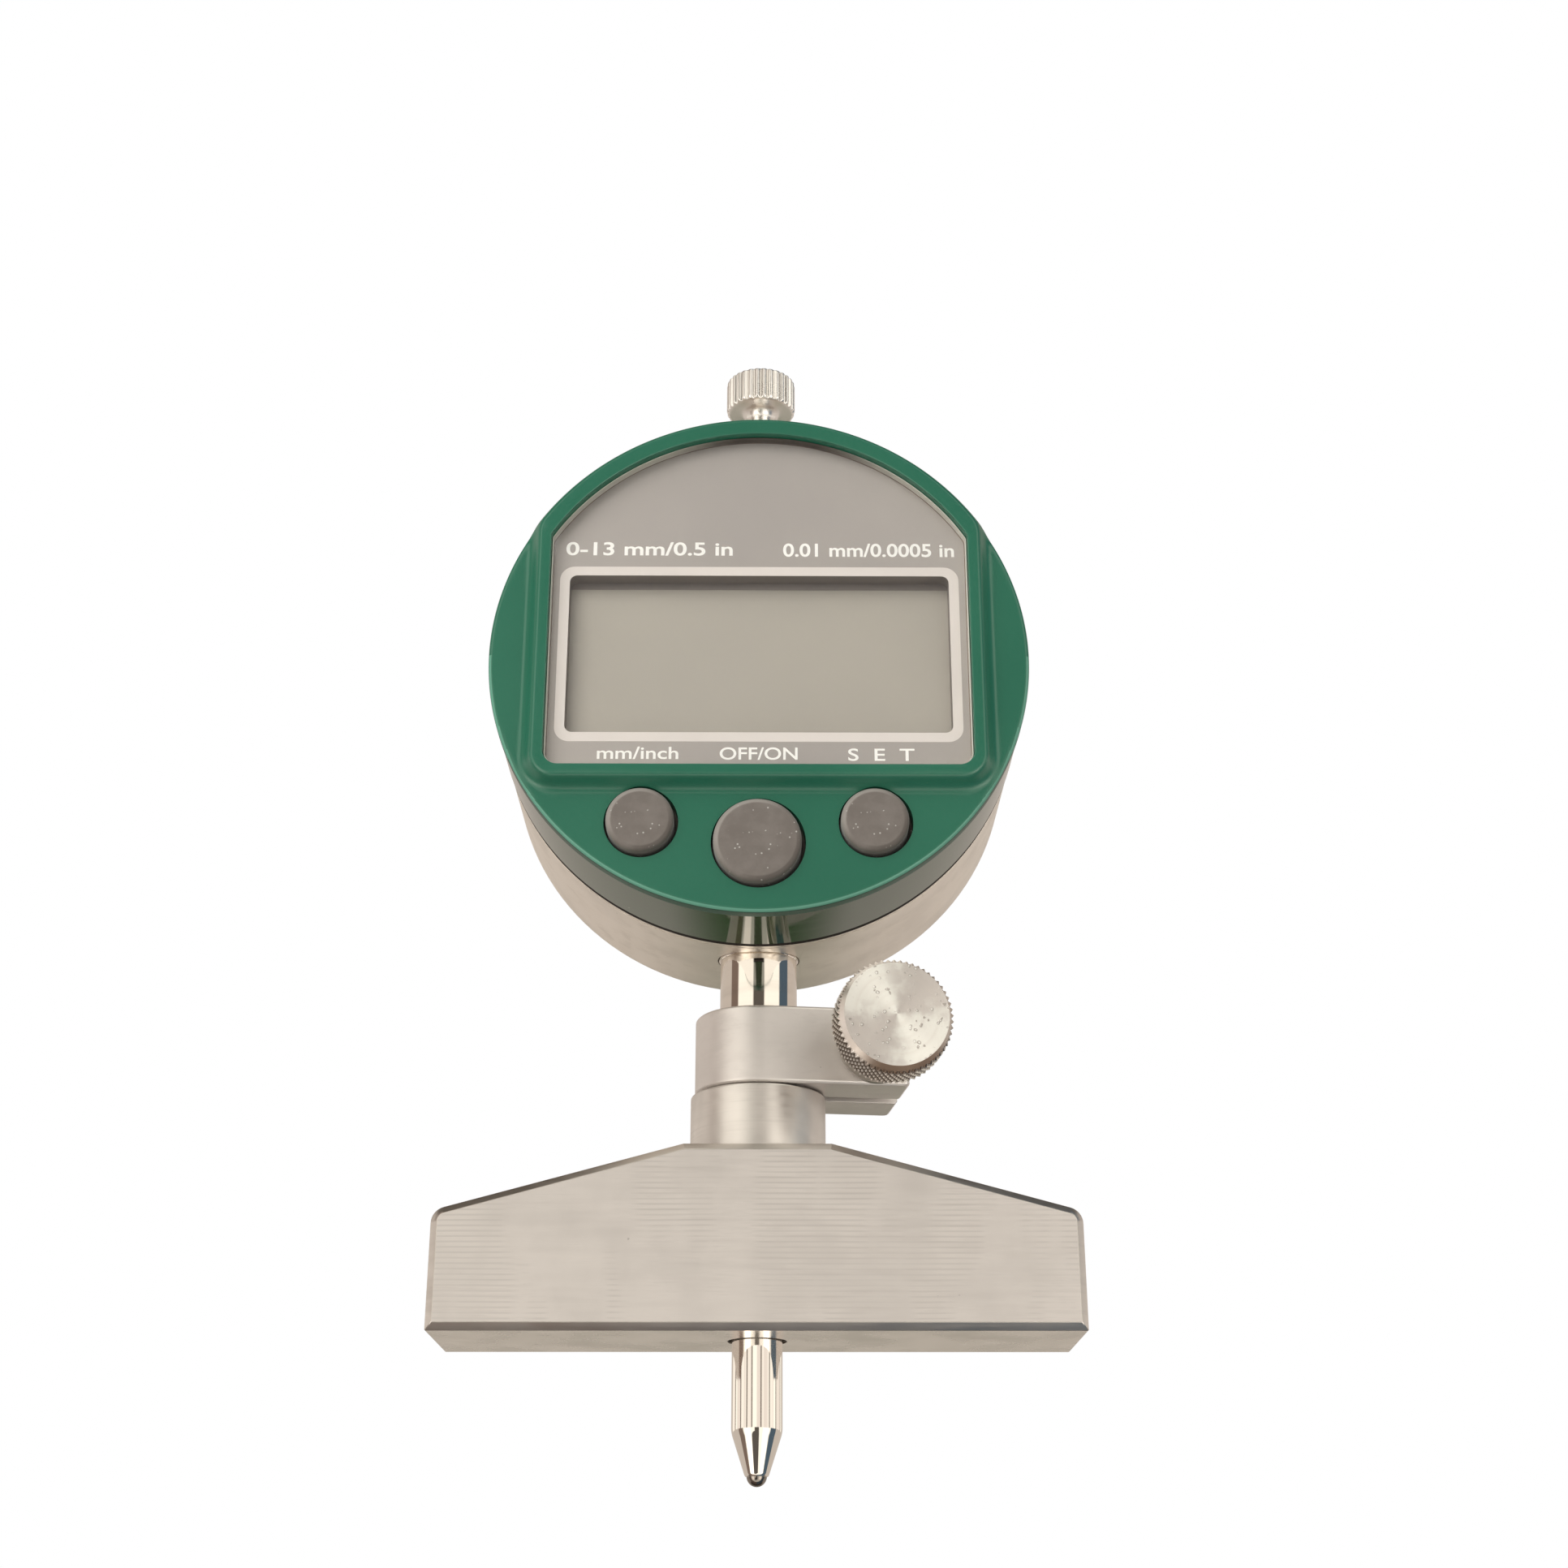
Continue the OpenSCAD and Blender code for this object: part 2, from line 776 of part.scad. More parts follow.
module elastomer_strips() {
  reach = display_height / 2 + bezel_wall - strip_width / 2;
  color(black)
    head_plate(display_back_y, board_face_y)
      for (side = [-1, 1])
        translate([0, display_shift + side * reach])
          square([display_width - 2 * strip_end, strip_width], center = true);
}

module main_board() {
  color(board_green)
    head_plate(board_face_y, board_back_y)
      circle(r = board_radius);
}

module switch_domes() {
  color(dark_steel)
    for (place = [units_place, power_place, zero_place])
      head_rod(place, dome_top_y, board_face_y, dome_diameter);
}

// A soft button: a face with a rounded edge, a flange behind the cover and a stalk
module push_button(place, diameter) {
  edge = button_edge_radius;
  radius = diameter / 2;
  flange_radius = radius + button_gap + flange_overlap;
  flange_end_y = cover_back_y + slide_fit + button_flange_thickness;
  color(grey_rubber)
    translate([place[0], 0, head_z + place[1]])
      rotate([90, 0, 0])
        rotate_extrude()
          mirror([0, 1])
            union() {
              translate([0, button_face_y])
                square([radius - edge, flange_end_y - button_face_y]);
              translate([0, button_face_y + edge])
                square([radius, flange_end_y - button_face_y - edge]);
              translate([radius - edge, button_face_y + edge])
                circle(r = edge);
              translate([0, cover_back_y + slide_fit])
                square([flange_radius, button_flange_thickness]);
              translate([0, button_face_y + edge])
                square([stalk_diameter / 2, stalk_end_y - button_face_y - edge]);
            }
}

module units_button() {
  push_button(units_place, side_button_diameter);
}

module power_button() {
  push_button(power_place, middle_button_diameter);
}

module zero_button() {
  push_button(zero_place, side_button_diameter);
}

module middle_case() {
  color(chrome)
    difference() {
      head_turned()
        polygon([
          [case_radius, ring_front_y], [case_radius, ring_back_y],
          [seam_radius, ring_back_y], [seam_radius, case_spigot_y],
          [web_radius, case_spigot_y], [web_radius, ledge_y],
          [case_radius - ring_lip, ledge_y], [case_radius - ring_lip, ring_front_y]
        ]);
      axis_rod(collar_z, collar_top_z, collar_diameter);
      axis_rod(collar_z, head_z, stem_shank_diameter);
      axis_rod(nut_z, head_z, nut_width + 2 * nut_relief);
      axis_rod(head_z, flange_top_z, flange_diameter + 2 * slide_fit);
      axis_rod(head_z, bushing_top_z, upper_bushing_diameter);
      guide_cut();
    }
}

module guide_cut() {
  translate([guide_x, 0, head_z - guide_half])
    cylinder(h = 2 * guide_half, d = guide_diameter);
}

module seal_ring() {
  color(black)
    head_turned()
      translate([seam_radius, ring_back_y])
        square([seal_height, seam_width]);
}

module rear_case() {
  color(steel)
    difference() {
      union() {
        head_turned()
          polygon([
            [rear_radius, rear_front_y], [rear_radius, rear_reach - rear_edge],
            [rear_radius - rear_edge, rear_reach], [rear_inner_radius, rear_reach],
            [rear_inner_radius, case_spigot_y + rest_gap],
            [seam_radius, case_spigot_y + rest_gap], [seam_radius, rear_front_y]
          ]);
        for (number = [1 : cover_screw_count])
          head_rod(cover_screw_place(number), rear_cover_y - lobe_length, rear_cover_y,
            2 * lobe_radius);
      }
      axis_rod(case_bottom_z - overrun, collar_top_z, collar_diameter + 2 * rest_gap);
      axis_rod(head_z, bushing_top_z, upper_bushing_diameter + 2 * rest_gap);
      for (number = [1 : cover_screw_count])
        cover_screw_cut(number);
    }
}

// Place of a rear cover screw in the front view of the head
function cover_screw_place(number) =
  let (angle = 360 * (number - 0.5) / cover_screw_count)
  [screw_circle * cos(angle), screw_circle * sin(angle)];

// The shank of a rear cover screw, which its holes follow
module cover_screw_cut(number) {
  head_rod(cover_screw_place(number), rear_reach - cover_screw_length, rear_reach,
    cover_screw_diameter);
}

// The countersunk head of a rear cover screw, deeper by a clearance
module cover_screw_cone(number, clearance) {
  place = cover_screw_place(number);
  translate([place[0], rear_reach, head_z + place[1]])
    rotate([90, 0, 0])
      cylinder(h = cover_screw_head_height, d1 = cover_screw_head + 2 * clearance,
        d2 = cover_screw_diameter + 2 * clearance);
}

module cover_screw(number) {
  place = cover_screw_place(number);
  color(dark_steel)
    difference() {
      union() {
        cover_screw_cut(number);
        cover_screw_cone(number, 0);
      }
      for (turn = [0, 90])
        translate([place[0], rear_reach, head_z + place[1]])
          rotate([0, turn + 45, 0])
            cube([cover_screw_head * driver_slot_share, 2 * driver_slot_depth, driver_slot_width],
              center = true);
    }
}

module rear_cover() {
  color(steel)
    difference() {
      head_plate(rear_cover_y, rear_reach)
        circle(r = rear_cover_radius);
      for (number = [1 : cover_screw_count]) {
        cover_screw_cut(number);
        cover_screw_cone(number, slide_fit);
      }
      head_rod([0, -cell_drop], rear_cover_y - overrun, rear_reach + overrun,
        2 * (battery_cap_radius + slide_fit));
    }
}

module mounting_lug() {
  half = lug_thickness / 2;
  end = lug_end_diameter / 2;
  color(steel)
    difference() {
      union() {
        translate([0, rear_reach + lug_flange_thickness, lug_z])
          rotate([90, 0, 0])
            linear_extrude(height = lug_flange_thickness)
              round_rectangle(2 * lug_flange_half_width, lug_end_diameter, lug_flange_corner);
        translate([-half, rear_reach, lug_z - end])
          cube([lug_thickness, lug_reach, lug_end_diameter]);
        translate([-half, lug_bore_y, lug_z])
          rotate([0, 90, 0])
            cylinder(h = lug_thickness, d = lug_end_diameter);
      }
      translate([-half - overrun, lug_bore_y, lug_z])
        rotate([0, 90, 0])
          cylinder(h = lug_thickness + 2 * overrun, d = lug_bore);
    }
}

module battery_holder() {
  color(black)
    difference() {
      head_rod([0, -cell_drop], cell_face_y - contact_height - holder_floor, rear_cover_y,
        2 * holder_outer);
      head_rod([0, -cell_drop], cell_face_y - contact_height, rear_cover_y + overrun,
        2 * holder_inner);
    }
}

module battery_contact() {
  color(brass)
    head_rod([0, -cell_drop], cell_face_y - contact_height, cell_face_y, cell_diameter * contact_share);
}

module coin_cell() {
  color(chrome)
    head_rod([0, -cell_drop], cell_face_y, cell_back_y, cell_diameter);
}

module battery_cap() {
  color(dark_steel)
    difference() {
      union() {
        head_rod([0, -cell_drop], plug_back_y, rear_cover_y, 2 * (holder_inner - slide_fit));
        head_rod([0, -cell_drop], rear_cover_y, rear_reach + cap_stand,
          2 * battery_cap_radius);
      }
      translate([0, rear_reach + cap_stand, cell_z])
        cube([coin_slot_length, 2 * coin_slot_depth, coin_slot_width], center = true);
    }
}

module stem() {
  color(chrome)
    difference() {
      union() {
        axis_rod(stem_bottom_z, collar_z, stem_diameter);
        axis_rod(collar_z, collar_top_z, collar_diameter);
        axis_rod(collar_top_z, stem_top_z, stem_shank_diameter);
      }
      axis_rod(stem_bottom_z - overrun, stem_top_z + overrun, stem_bore);
    }
}

module stem_nut() {
  color(dark_steel)
    difference() {
      translate([0, 0, nut_z])
        cylinder(h = nut_height, d = nut_width, $fn = 6);
      axis_rod(nut_z - overrun, stem_top_z + overrun, stem_shank_diameter);
    }
}

module lower_bushing() {
  color(brass)
    difference() {
      axis_rod(bushing_bottom_z, stem_top_z, stem_bore);
      axis_rod(bushing_bottom_z - overrun, stem_top_z + overrun,
        spindle_diameter + 2 * run_fit);
    }
}

module upper_bushing() {
  color(chrome)
    difference() {
      union() {
        axis_rod(flange_top_z - flange_height, flange_top_z, flange_diameter);
        axis_rod(flange_top_z, bushing_top_z, upper_bushing_diameter);
      }
      axis_rod(flange_top_z - flange_height - overrun, bushing_top_z + overrun,
        neck_rod_diameter + 2 * run_fit);
    }
}

module guide_rod() {
  color(chrome)
    guide_cut();
}

module reader_board() {
  color(board_green)
    head_plate(board_back_y, reader_back_y)
      translate([-reader_half_width, reader_low])
        square([2 * reader_half_width, reader_high - reader_low]);
}

// A round wire wound up the spindle's axis, as one closed tube
module wound_wire(bottom_z, top_z, turns, coil_radius, wire_radius) {
  count = turns * spring_steps;
  rings = [
    for (step = [0 : count], corner = [0 : spring_sides - 1])
      let (
        angle = 360 * step / spring_steps,
        around = 360 * corner / spring_sides,
        radius = coil_radius + wire_radius * cos(around),
        level = bottom_z + (top_z - bottom_z) * step / count + wire_radius * sin(around)
      )
      [radius * cos(angle), radius * sin(angle), level]
  ];
  sides = [
    for (step = [0 : count - 1], corner = [0 : spring_sides - 1])
      let (
        next = (corner + 1) % spring_sides,
        a = step * spring_sides + corner,
        b = step * spring_sides + next,
        c = a + spring_sides,
        d = b + spring_sides
      )
      each [[a, b, d], [a, d, c]]
  ];
  first = [for (corner = [spring_sides - 1 : -1 : 0]) corner];
  final = [for (corner = [0 : spring_sides - 1]) count * spring_sides + corner];
  polyhedron(points = rings, faces = concat(sides, [first], [final]));
}

module return_spring() {
  half_wire = spring_wire / 2;
  color(dark_steel)
    wound_wire(carrier_top_z + half_wire + rest_gap,
      flange_top_z - flange_height - half_wire - rest_gap,
      spring_turns, spring_diameter / 2, half_wire);
}

module spindle() {
  color(chrome)
    union() {
      axis_rod(rod_top_z - thread_length, rod_top_z, thread_diameter);
      axis_rod(rod_top_z, carrier_top_z, spindle_diameter);
      axis_rod(stop_z, stop_z + stop_height, stop_diameter);
      axis_rod(carrier_top_z, cap_z + cap_hole_depth, neck_rod_diameter);
    }
}

module scale_carrier() {
  arm_z = carrier_z + (carrier_height - arm_height) / 2;
  color(dark_steel)
    difference() {
      union() {
        // A hub on the spindle, a bridge forward and the plate that holds the scale
        translate([-carrier_half_width, carrier_front_y, carrier_z])
          cube([2 * carrier_half_width, carrier_back_y - carrier_front_y, carrier_height]);
        translate([-carrier_bridge_width / 2, scale_back_y, carrier_z])
          cube([carrier_bridge_width, carrier_back_y - scale_back_y, carrier_height]);
        translate([-carrier_half_width, scale_back_y, carrier_z])
          cube([2 * carrier_half_width, carrier_plate, carrier_height]);
        translate([0, -arm_half_depth, arm_z])
          cube([arm_reach, 2 * arm_half_depth, arm_height]);
      }
      axis_rod(carrier_z - overrun, carrier_top_z + overrun, spindle_diameter);
      translate([guide_x - guide_diameter / 2 - slide_fit, -guide_diameter / 2 - slide_fit,
        arm_z - overrun])
        cube([arm_reach, guide_diameter + 2 * slide_fit, arm_height + 2 * overrun]);
    }
}

module scale_strip() {
  color(glass_grey)
    translate([-scale_half_width, scale_face_y, carrier_z - scale_foot])
      cube([2 * scale_half_width, scale_thickness, scale_length]);
}

module contact_rod() {
  color(chrome)
    difference() {
      union() {
        axis_rod(taper_z + taper_length, rod_top_z, contact_diameter);
        translate([0, 0, taper_z])
          cylinder(h = taper_length, d1 = taper_end_diameter, d2 = contact_diameter);
      }
      axis_rod(rod_top_z - thread_length, rod_top_z + overrun, thread_diameter);
      translate([0, 0, ball_diameter / 2 - tip_reach])
        sphere(d = ball_diameter);
    }
}

module contact_ball() {
  color(dark_steel)
    translate([0, 0, ball_diameter / 2 - tip_reach])
      sphere(d = ball_diameter);
}

module lifting_cap() {
  outer = cap_diameter / 2;
  root = outer - tooth_depth;
  color(steel)
    difference() {
      union() {
        translate([0, 0, cap_z])
          linear_extrude(height = cap_height - cap_top_edge)
            polygon([
              for (step = [0 : 4 * cap_teeth - 1])
                let (
                  radius = step % 4 < 2 ? outer : root,
                  angle = 360 * (step + 0.5) / (4 * cap_teeth)
                )
                [radius * cos(angle), radius * sin(angle)]
            ]);
        translate([0, 0, cap_z + cap_height - cap_top_edge])
          cylinder(h = cap_top_edge, r1 = root, r2 = root - cap_top_edge);
      }
      axis_rod(cap_z - overrun, cap_z + cap_hole_depth, neck_rod_diameter);
    }
}

depth_base();
guide_sleeve();
clamp_ring();
clamp_washer();
clamp_screw();
clamp_knob();
front_cover();
display_panel();
display_bezel();
display_glass();
elastomer_strips();
main_board();
switch_domes();
units_button();
power_button();
zero_button();
middle_case();
seal_ring();
rear_case();
rear_cover();
cover_screw(1);  // cover_screw_1
cover_screw(2);  // cover_screw_2
cover_screw(3);  // cover_screw_3
cover_screw(4);  // cover_screw_4
mounting_lug();
battery_holder();
battery_contact();
coin_cell();
battery_cap();
stem();
stem_nut();
lower_bushing();
upper_bushing();
guide_rod();
reader_board();
return_spring();
spindle();
scale_carrier();
scale_strip();
contact_rod();
contact_ball();
lifting_cap();
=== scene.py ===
import bmesh
import bpy
import json
import math
from mathutils import Matrix, Vector


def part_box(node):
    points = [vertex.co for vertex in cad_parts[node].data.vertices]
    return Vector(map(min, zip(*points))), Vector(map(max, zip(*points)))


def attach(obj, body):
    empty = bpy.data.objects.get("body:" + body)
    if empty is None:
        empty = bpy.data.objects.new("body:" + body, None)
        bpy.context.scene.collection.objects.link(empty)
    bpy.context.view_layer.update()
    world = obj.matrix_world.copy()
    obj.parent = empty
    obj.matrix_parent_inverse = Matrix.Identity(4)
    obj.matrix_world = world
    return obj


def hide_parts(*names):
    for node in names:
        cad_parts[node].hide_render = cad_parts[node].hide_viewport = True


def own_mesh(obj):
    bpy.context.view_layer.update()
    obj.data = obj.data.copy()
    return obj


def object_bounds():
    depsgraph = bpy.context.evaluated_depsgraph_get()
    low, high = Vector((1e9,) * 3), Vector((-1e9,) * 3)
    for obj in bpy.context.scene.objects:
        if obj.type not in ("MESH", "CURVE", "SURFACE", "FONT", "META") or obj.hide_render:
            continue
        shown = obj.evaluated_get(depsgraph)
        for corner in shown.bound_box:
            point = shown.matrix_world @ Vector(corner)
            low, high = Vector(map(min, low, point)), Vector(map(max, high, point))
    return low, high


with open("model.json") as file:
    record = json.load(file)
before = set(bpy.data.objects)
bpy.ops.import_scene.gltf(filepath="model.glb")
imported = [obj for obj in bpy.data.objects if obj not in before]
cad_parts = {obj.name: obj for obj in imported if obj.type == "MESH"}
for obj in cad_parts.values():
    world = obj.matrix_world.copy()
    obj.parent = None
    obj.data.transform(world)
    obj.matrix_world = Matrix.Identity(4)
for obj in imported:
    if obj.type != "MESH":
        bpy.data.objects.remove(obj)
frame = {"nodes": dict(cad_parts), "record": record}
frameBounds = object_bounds()
print("frame loaded with", len(frame["nodes"]), "nodes")

# Digital indicator in a depth base. Lengths are written in millimetres and scaled by mm.
mm = 0.001
scene = bpy.context.scene


def nodeBox(node):
    low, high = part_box(node)
    return low / mm, high / mm


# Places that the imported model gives, in millimetres
coverLow, coverHigh = nodeBox("front_cover")
panelLow, panelHigh = nodeBox("display_panel")
headZ = (coverLow.z + coverHigh.z) / 2
coverRadius = (coverHigh.z - coverLow.z) / 2

# The camera stands where the photograph was taken from
cameraView = {
    "focalPixels": 2714,
    "framePixels": 1932,
    "place": (1.0, -221.7, -31.4),
    "pitch": 22.27,
    "yaw": 0.434,
    "roll": -0.04,
}


def placeCamera(view):
    data = bpy.data.cameras.new("photoCamera")
    data.sensor_width = 36
    data.lens = data.sensor_width * view["focalPixels"] / view["framePixels"]
    data.clip_start = 5 * mm
    camera = bpy.data.objects.new("photoCamera", data)
    turns = [(-view["yaw"], "Z"), (90 + view["pitch"], "X"), (view["roll"], "Z")]
    camera.matrix_world = Matrix.Translation(Vector(view["place"]) * mm)
    for degrees, axis in turns:
        camera.matrix_world @= Matrix.Rotation(math.radians(degrees), 4, axis)
    scene.collection.objects.link(camera)
    scene.camera = camera


placeCamera(cameraView)
print("camera placed")


# Small helpers for node trees. They work on the tree that was started last.
current = {}


def startMaterial(name):
    material = bpy.data.materials.new(name)
    material.use_nodes = True
    current.update(material=material, tree=material.node_tree)


def setSockets(node, values):
    # Colours are written without their alpha
    for name, value in values.items():
        socket = node.inputs[name]
        if isinstance(value, bpy.types.NodeSocket):
            current["tree"].links.new(value, socket)
        else:
            socket.default_value = (*value, 1) if socket.type == "RGBA" else value


def addNode(kind, values=None, **settings):
    node = current["tree"].nodes.new("ShaderNode" + kind)
    for name, value in settings.items():
        setattr(node, name, value)
    setSockets(node, values or {})
    return node


def calc(operation, *values):
    return addNode("Math", dict(enumerate(values)), operation=operation).outputs[0]


def times(*factors):
    product = factors[0]
    for factor in factors[1:]:
        product = calc("MULTIPLY", product, factor)
    return product


def between(value, low, high, start=0.0, end=1.0):
    values = {"Value": value, "From Min": low, "From Max": high, "To Min": start, "To Max": end}
    return addNode("MapRange", values, interpolation_type="SMOOTHSTEP").outputs[0]


def band(value, rising, falling):
    # 1 from one soft edge to another
    return times(between(value, *rising), between(value, falling[1], falling[0]))


def blend(factor, first, second):
    return addNode("Mix", {0: factor, 6: first, 7: second}, data_type="RGBA").outputs[2]


def layered(colour, *layers):
    # Other colours laid over a colour in turn, each by its own mask
    for factor, over in layers:
        colour = blend(factor, colour, over)
    return colour


def scaled(colour, share):
    return tuple(part * share for part in colour)


def objectPoint(stretch=(1, 1, 1)):
    point = addNode("TexCoord").outputs["Object"]
    return addNode("Mapping", {"Vector": point, "Scale": stretch}).outputs[0]


def parts(vector):
    return addNode("SeparateXYZ", {0: vector}).outputs


def length(*values):
    vector = addNode("CombineXYZ", dict(enumerate(values))).outputs[0]
    return addNode("VectorMath", {0: vector}, operation="LENGTH").outputs["Value"]


def noise(point, scale, detail=4, roughness=0.5):
    values = {"Vector": point, "Scale": scale, "Detail": detail, "Roughness": roughness}
    return addNode("TexNoise", values).outputs[0]


def cells(point, scale):
    return addNode("TexVoronoi", {"Vector": point, "Scale": scale}).outputs["Distance"]


def speckles(point, scale, size, patchScale, chance, detail=1):
    # Round specks in cells of one scale, in some patches of another
    patches = between(noise(point, patchScale, detail), *chance)
    return times(between(cells(point, scale), *size), patches)


def bump(height, depth):
    return addNode("Bump", {"Height": height, "Distance": depth * mm, "Strength": 1.0}).outputs[0]


def mixed(factor, first, second):
    # One shader laid over another by a factor
    return addNode("MixShader", {0: factor, 1: first, 2: second}).outputs[0]


def glowing(kind, colour, strength=1.0):
    # A background or an emission of one colour
    return addNode(kind, {"Color": colour, "Strength": strength}).outputs[0]


def plainShader():
    return current["tree"].nodes["Principled BSDF"]


def setShader(colour, roughness, more=None):
    setSockets(plainShader(), {"Base Color": colour, "Roughness": roughness, **(more or {})})
    return current["material"]


def showShader(output):
    setSockets(current["tree"].nodes["Material Output"], {"Surface": output})
    return current["material"]


# The studio. Metal and glass reflect a bright ceiling in front of the object, a darker room
# round it and a pale bench behind it. The camera sees plain white. The edges are shares of a
# unit direction or turns from the front in radians.
studio = {
    "diffuseLevel": 0.66,
    "diffuseColour": (1.0, 0.985, 0.965),
    "bench": (0.62, 0.55, 0.49),
    "wallEnds": (0.10, 0.085, 0.07),
    "wallEndsEdges": ((0.55, 0.75), (-0.75, -0.55)),
    "wallLeft": (0.22, 0.16, 0.13),
    "wallLeftEdge": (-0.03, 0.03),
    "wallRight": (0.085, 0.125, 0.165),
    "wallRightEdge": (-0.13, -0.08),
    "ceiling": (1.27, 1.21, 1.09),
    "ceilingEdge": (0.38, 0.46),
    "lowBox": (2.7, 2.5, 2.25),
    "lowBoxTurn": ((0.48, 0.56), (0.94, 1.02)),
    "lowBoxHeight": ((-0.62, -0.55), (-0.10, -0.04)),
    "darkShape": (0.12, 0.105, 0.09),
    "darkSpots": [((0, 0.42), (0.31, 0.34), (1.08, 0.85)), ((-0.13, -0.50), (0.24, 0.24), (1.08, 0.9))],
    "darkWidth": (0.2, 0.14),
    "darkHeight": ((-0.62, -0.55), (0.1, 0.2)),
    "stripe": (0.98, 0.88, 0.80),
    "stripeTones": (2.3, (0.35, 0.6)),
    "stripeJoint": (0.14, 0.115, 0.095),
    "stripeJoints": (7.3, 1.7, (0.085, 0.05)),
    "stripeTurn": (2.5, 2.35),
    "stripeHeight": ((-0.04, 0.0), (0.18, 0.22)),
    "benchShade": (0.045, 0.085, 0.028),
    "shadeSpot": ((0, -0.39), (0.30, 0.145), (1.5, 0.4)),
    "keyPower": 1.25,
    "keyPlace": (-260, -420, 330),
    "keySize": 420,
    "keyAim": (0, 0, 60),
    "floorColour": (0.80, 0.79, 0.77),
    "floorSize": 3000,
    "floorFade": (0.15, 0.60),
}


def makeWorld(settings):
    world = bpy.data.worlds.new("studio")
    world.use_nodes = True
    world.cycles.sampling_method = "NONE"
    scene.world = world
    world.node_tree.nodes.clear()
    current["tree"] = world.node_tree
    x, y, z = parts(addNode("TexCoord").outputs["Generated"])
    front = calc("MULTIPLY", y, -1.0)
    left = calc("LESS_THAN", x, 0.0)
    turn = calc("ARCTAN2", x, front)
    side = calc("ABSOLUTE", turn)

    def spot(middle, size, edge):
        across = calc("DIVIDE", calc("SUBTRACT", x, middle[0]), size[0])
        along = calc("DIVIDE", calc("SUBTRACT", z, middle[1]), size[1])
        return between(length(across, along), *edge)

    high, back = settings["wallEndsEdges"]
    dark = times(between(calc("ABSOLUTE", x), *settings["darkWidth"]), band(z, *settings["darkHeight"]))
    for row in settings["darkSpots"]:
        dark = calc("MAXIMUM", dark, spot(*row))
    ends = times(between(calc("ABSOLUTE", z), *high), between(front, *back))
    onLeft = times(left, between(front, *settings["wallLeftEdge"]))
    onRight = times(calc("SUBTRACT", 1.0, left), between(front, *settings["wallRightEdge"]))
    boxes = times(band(side, *settings["lowBoxTurn"]), band(z, *settings["lowBoxHeight"]))
    # Panel joints stripe the low part of the room, and the bench is shaded below
    shift, scale, jointEdge = settings["stripeJoints"]
    joints = addNode("TexVoronoi", {"W": calc("ADD", turn, shift), "Scale": scale},
                     voronoi_dimensions="1D", feature="DISTANCE_TO_EDGE").outputs["Distance"]
    scale, toneEdge = settings["stripeTones"]
    tone = addNode("TexNoise", {"W": turn, "Scale": scale, "Detail": 1.0}, noise_dimensions="1D").outputs[0]
    stripes = layered(settings["ceiling"], (between(tone, *toneEdge), settings["stripe"]),
                      (between(joints, *jointEdge), settings["stripeJoint"]))
    striped = times(band(z, *settings["stripeHeight"]), between(side, *settings["stripeTurn"]))
    colour = layered(
        settings["bench"], (ends, settings["wallEnds"]), (onLeft, settings["wallLeft"]),
        (onRight, settings["wallRight"]), (between(front, *settings["ceilingEdge"]), settings["ceiling"]),
        (boxes, settings["lowBox"]),
        (times(dark, calc("GREATER_THAN", front, 0.0)), settings["darkShape"]), (striped, stripes),
        (times(spot(*settings["shadeSpot"]), calc("LESS_THAN", front, 0.0)), settings["benchShade"]))
    reflected = glowing("Background", colour)
    lit = glowing("Background", settings["diffuseColour"], settings["diffuseLevel"])
    white = glowing("Background", (1, 1, 1))
    rays = addNode("LightPath").outputs
    seesWhite = calc("MAXIMUM", rays["Is Camera Ray"], rays["Is Transmission Ray"])
    shown = mixed(seesWhite, mixed(rays["Is Glossy Ray"], lit, reflected), white)
    addNode("OutputWorld", {"Surface": shown})


def makeLamp(settings):
    data = bpy.data.lights.new("softKey", "AREA")
    data.energy = settings["keyPower"]
    data.size = settings["keySize"] * mm
    data.color = settings["diffuseColour"]
    lamp = bpy.data.objects.new("softKey", data)
    place = Vector(settings["keyPlace"]) * mm
    lamp.location = place
    lamp.rotation_euler = (Vector(settings["keyAim"]) * mm - place).to_track_quat("-Z", "Y").to_euler()
    lamp.visible_glossy = False
    scene.collection.objects.link(lamp)


def makeFloor(settings):
    # The floor meets the tip. It is clear to a camera below it, as the photograph's camera is.
    half = settings["floorSize"] / 2 * mm
    level = frameBounds[0][2]
    corners = [(-half, -half, level), (half, -half, level), (half, half, level), (-half, half, level)]
    mesh = bpy.data.meshes.new("floor")
    mesh.from_pydata(corners, [], [(0, 1, 2, 3)])
    floor = bpy.data.objects.new("floor", mesh)
    scene.collection.objects.link(floor)
    startMaterial("paleFloor")
    setShader(settings["floorColour"], 0.8)
    seen = addNode("LightPath").outputs["Is Camera Ray"]
    # Seen from above it fades to white away from the object
    away = addNode("VectorMath", {0: objectPoint()}, operation="LENGTH").outputs["Value"]
    faded = times(between(away, *settings["floorFade"]), seen)
    shown = mixed(faded, plainShader().outputs[0], glowing("Emission", (1, 1, 1)))
    fromBelow = times(addNode("NewGeometry").outputs["Backfacing"], seen)
    clear = addNode("BsdfTransparent").outputs[0]
    mesh.materials.append(showShader(mixed(fromBelow, shown, clear)))
    floor.visible_glossy = False


makeWorld(studio)
makeLamp(studio)
makeFloor(studio)
scene.view_settings.view_transform = "Standard"
print("studio ready")


# Finishes

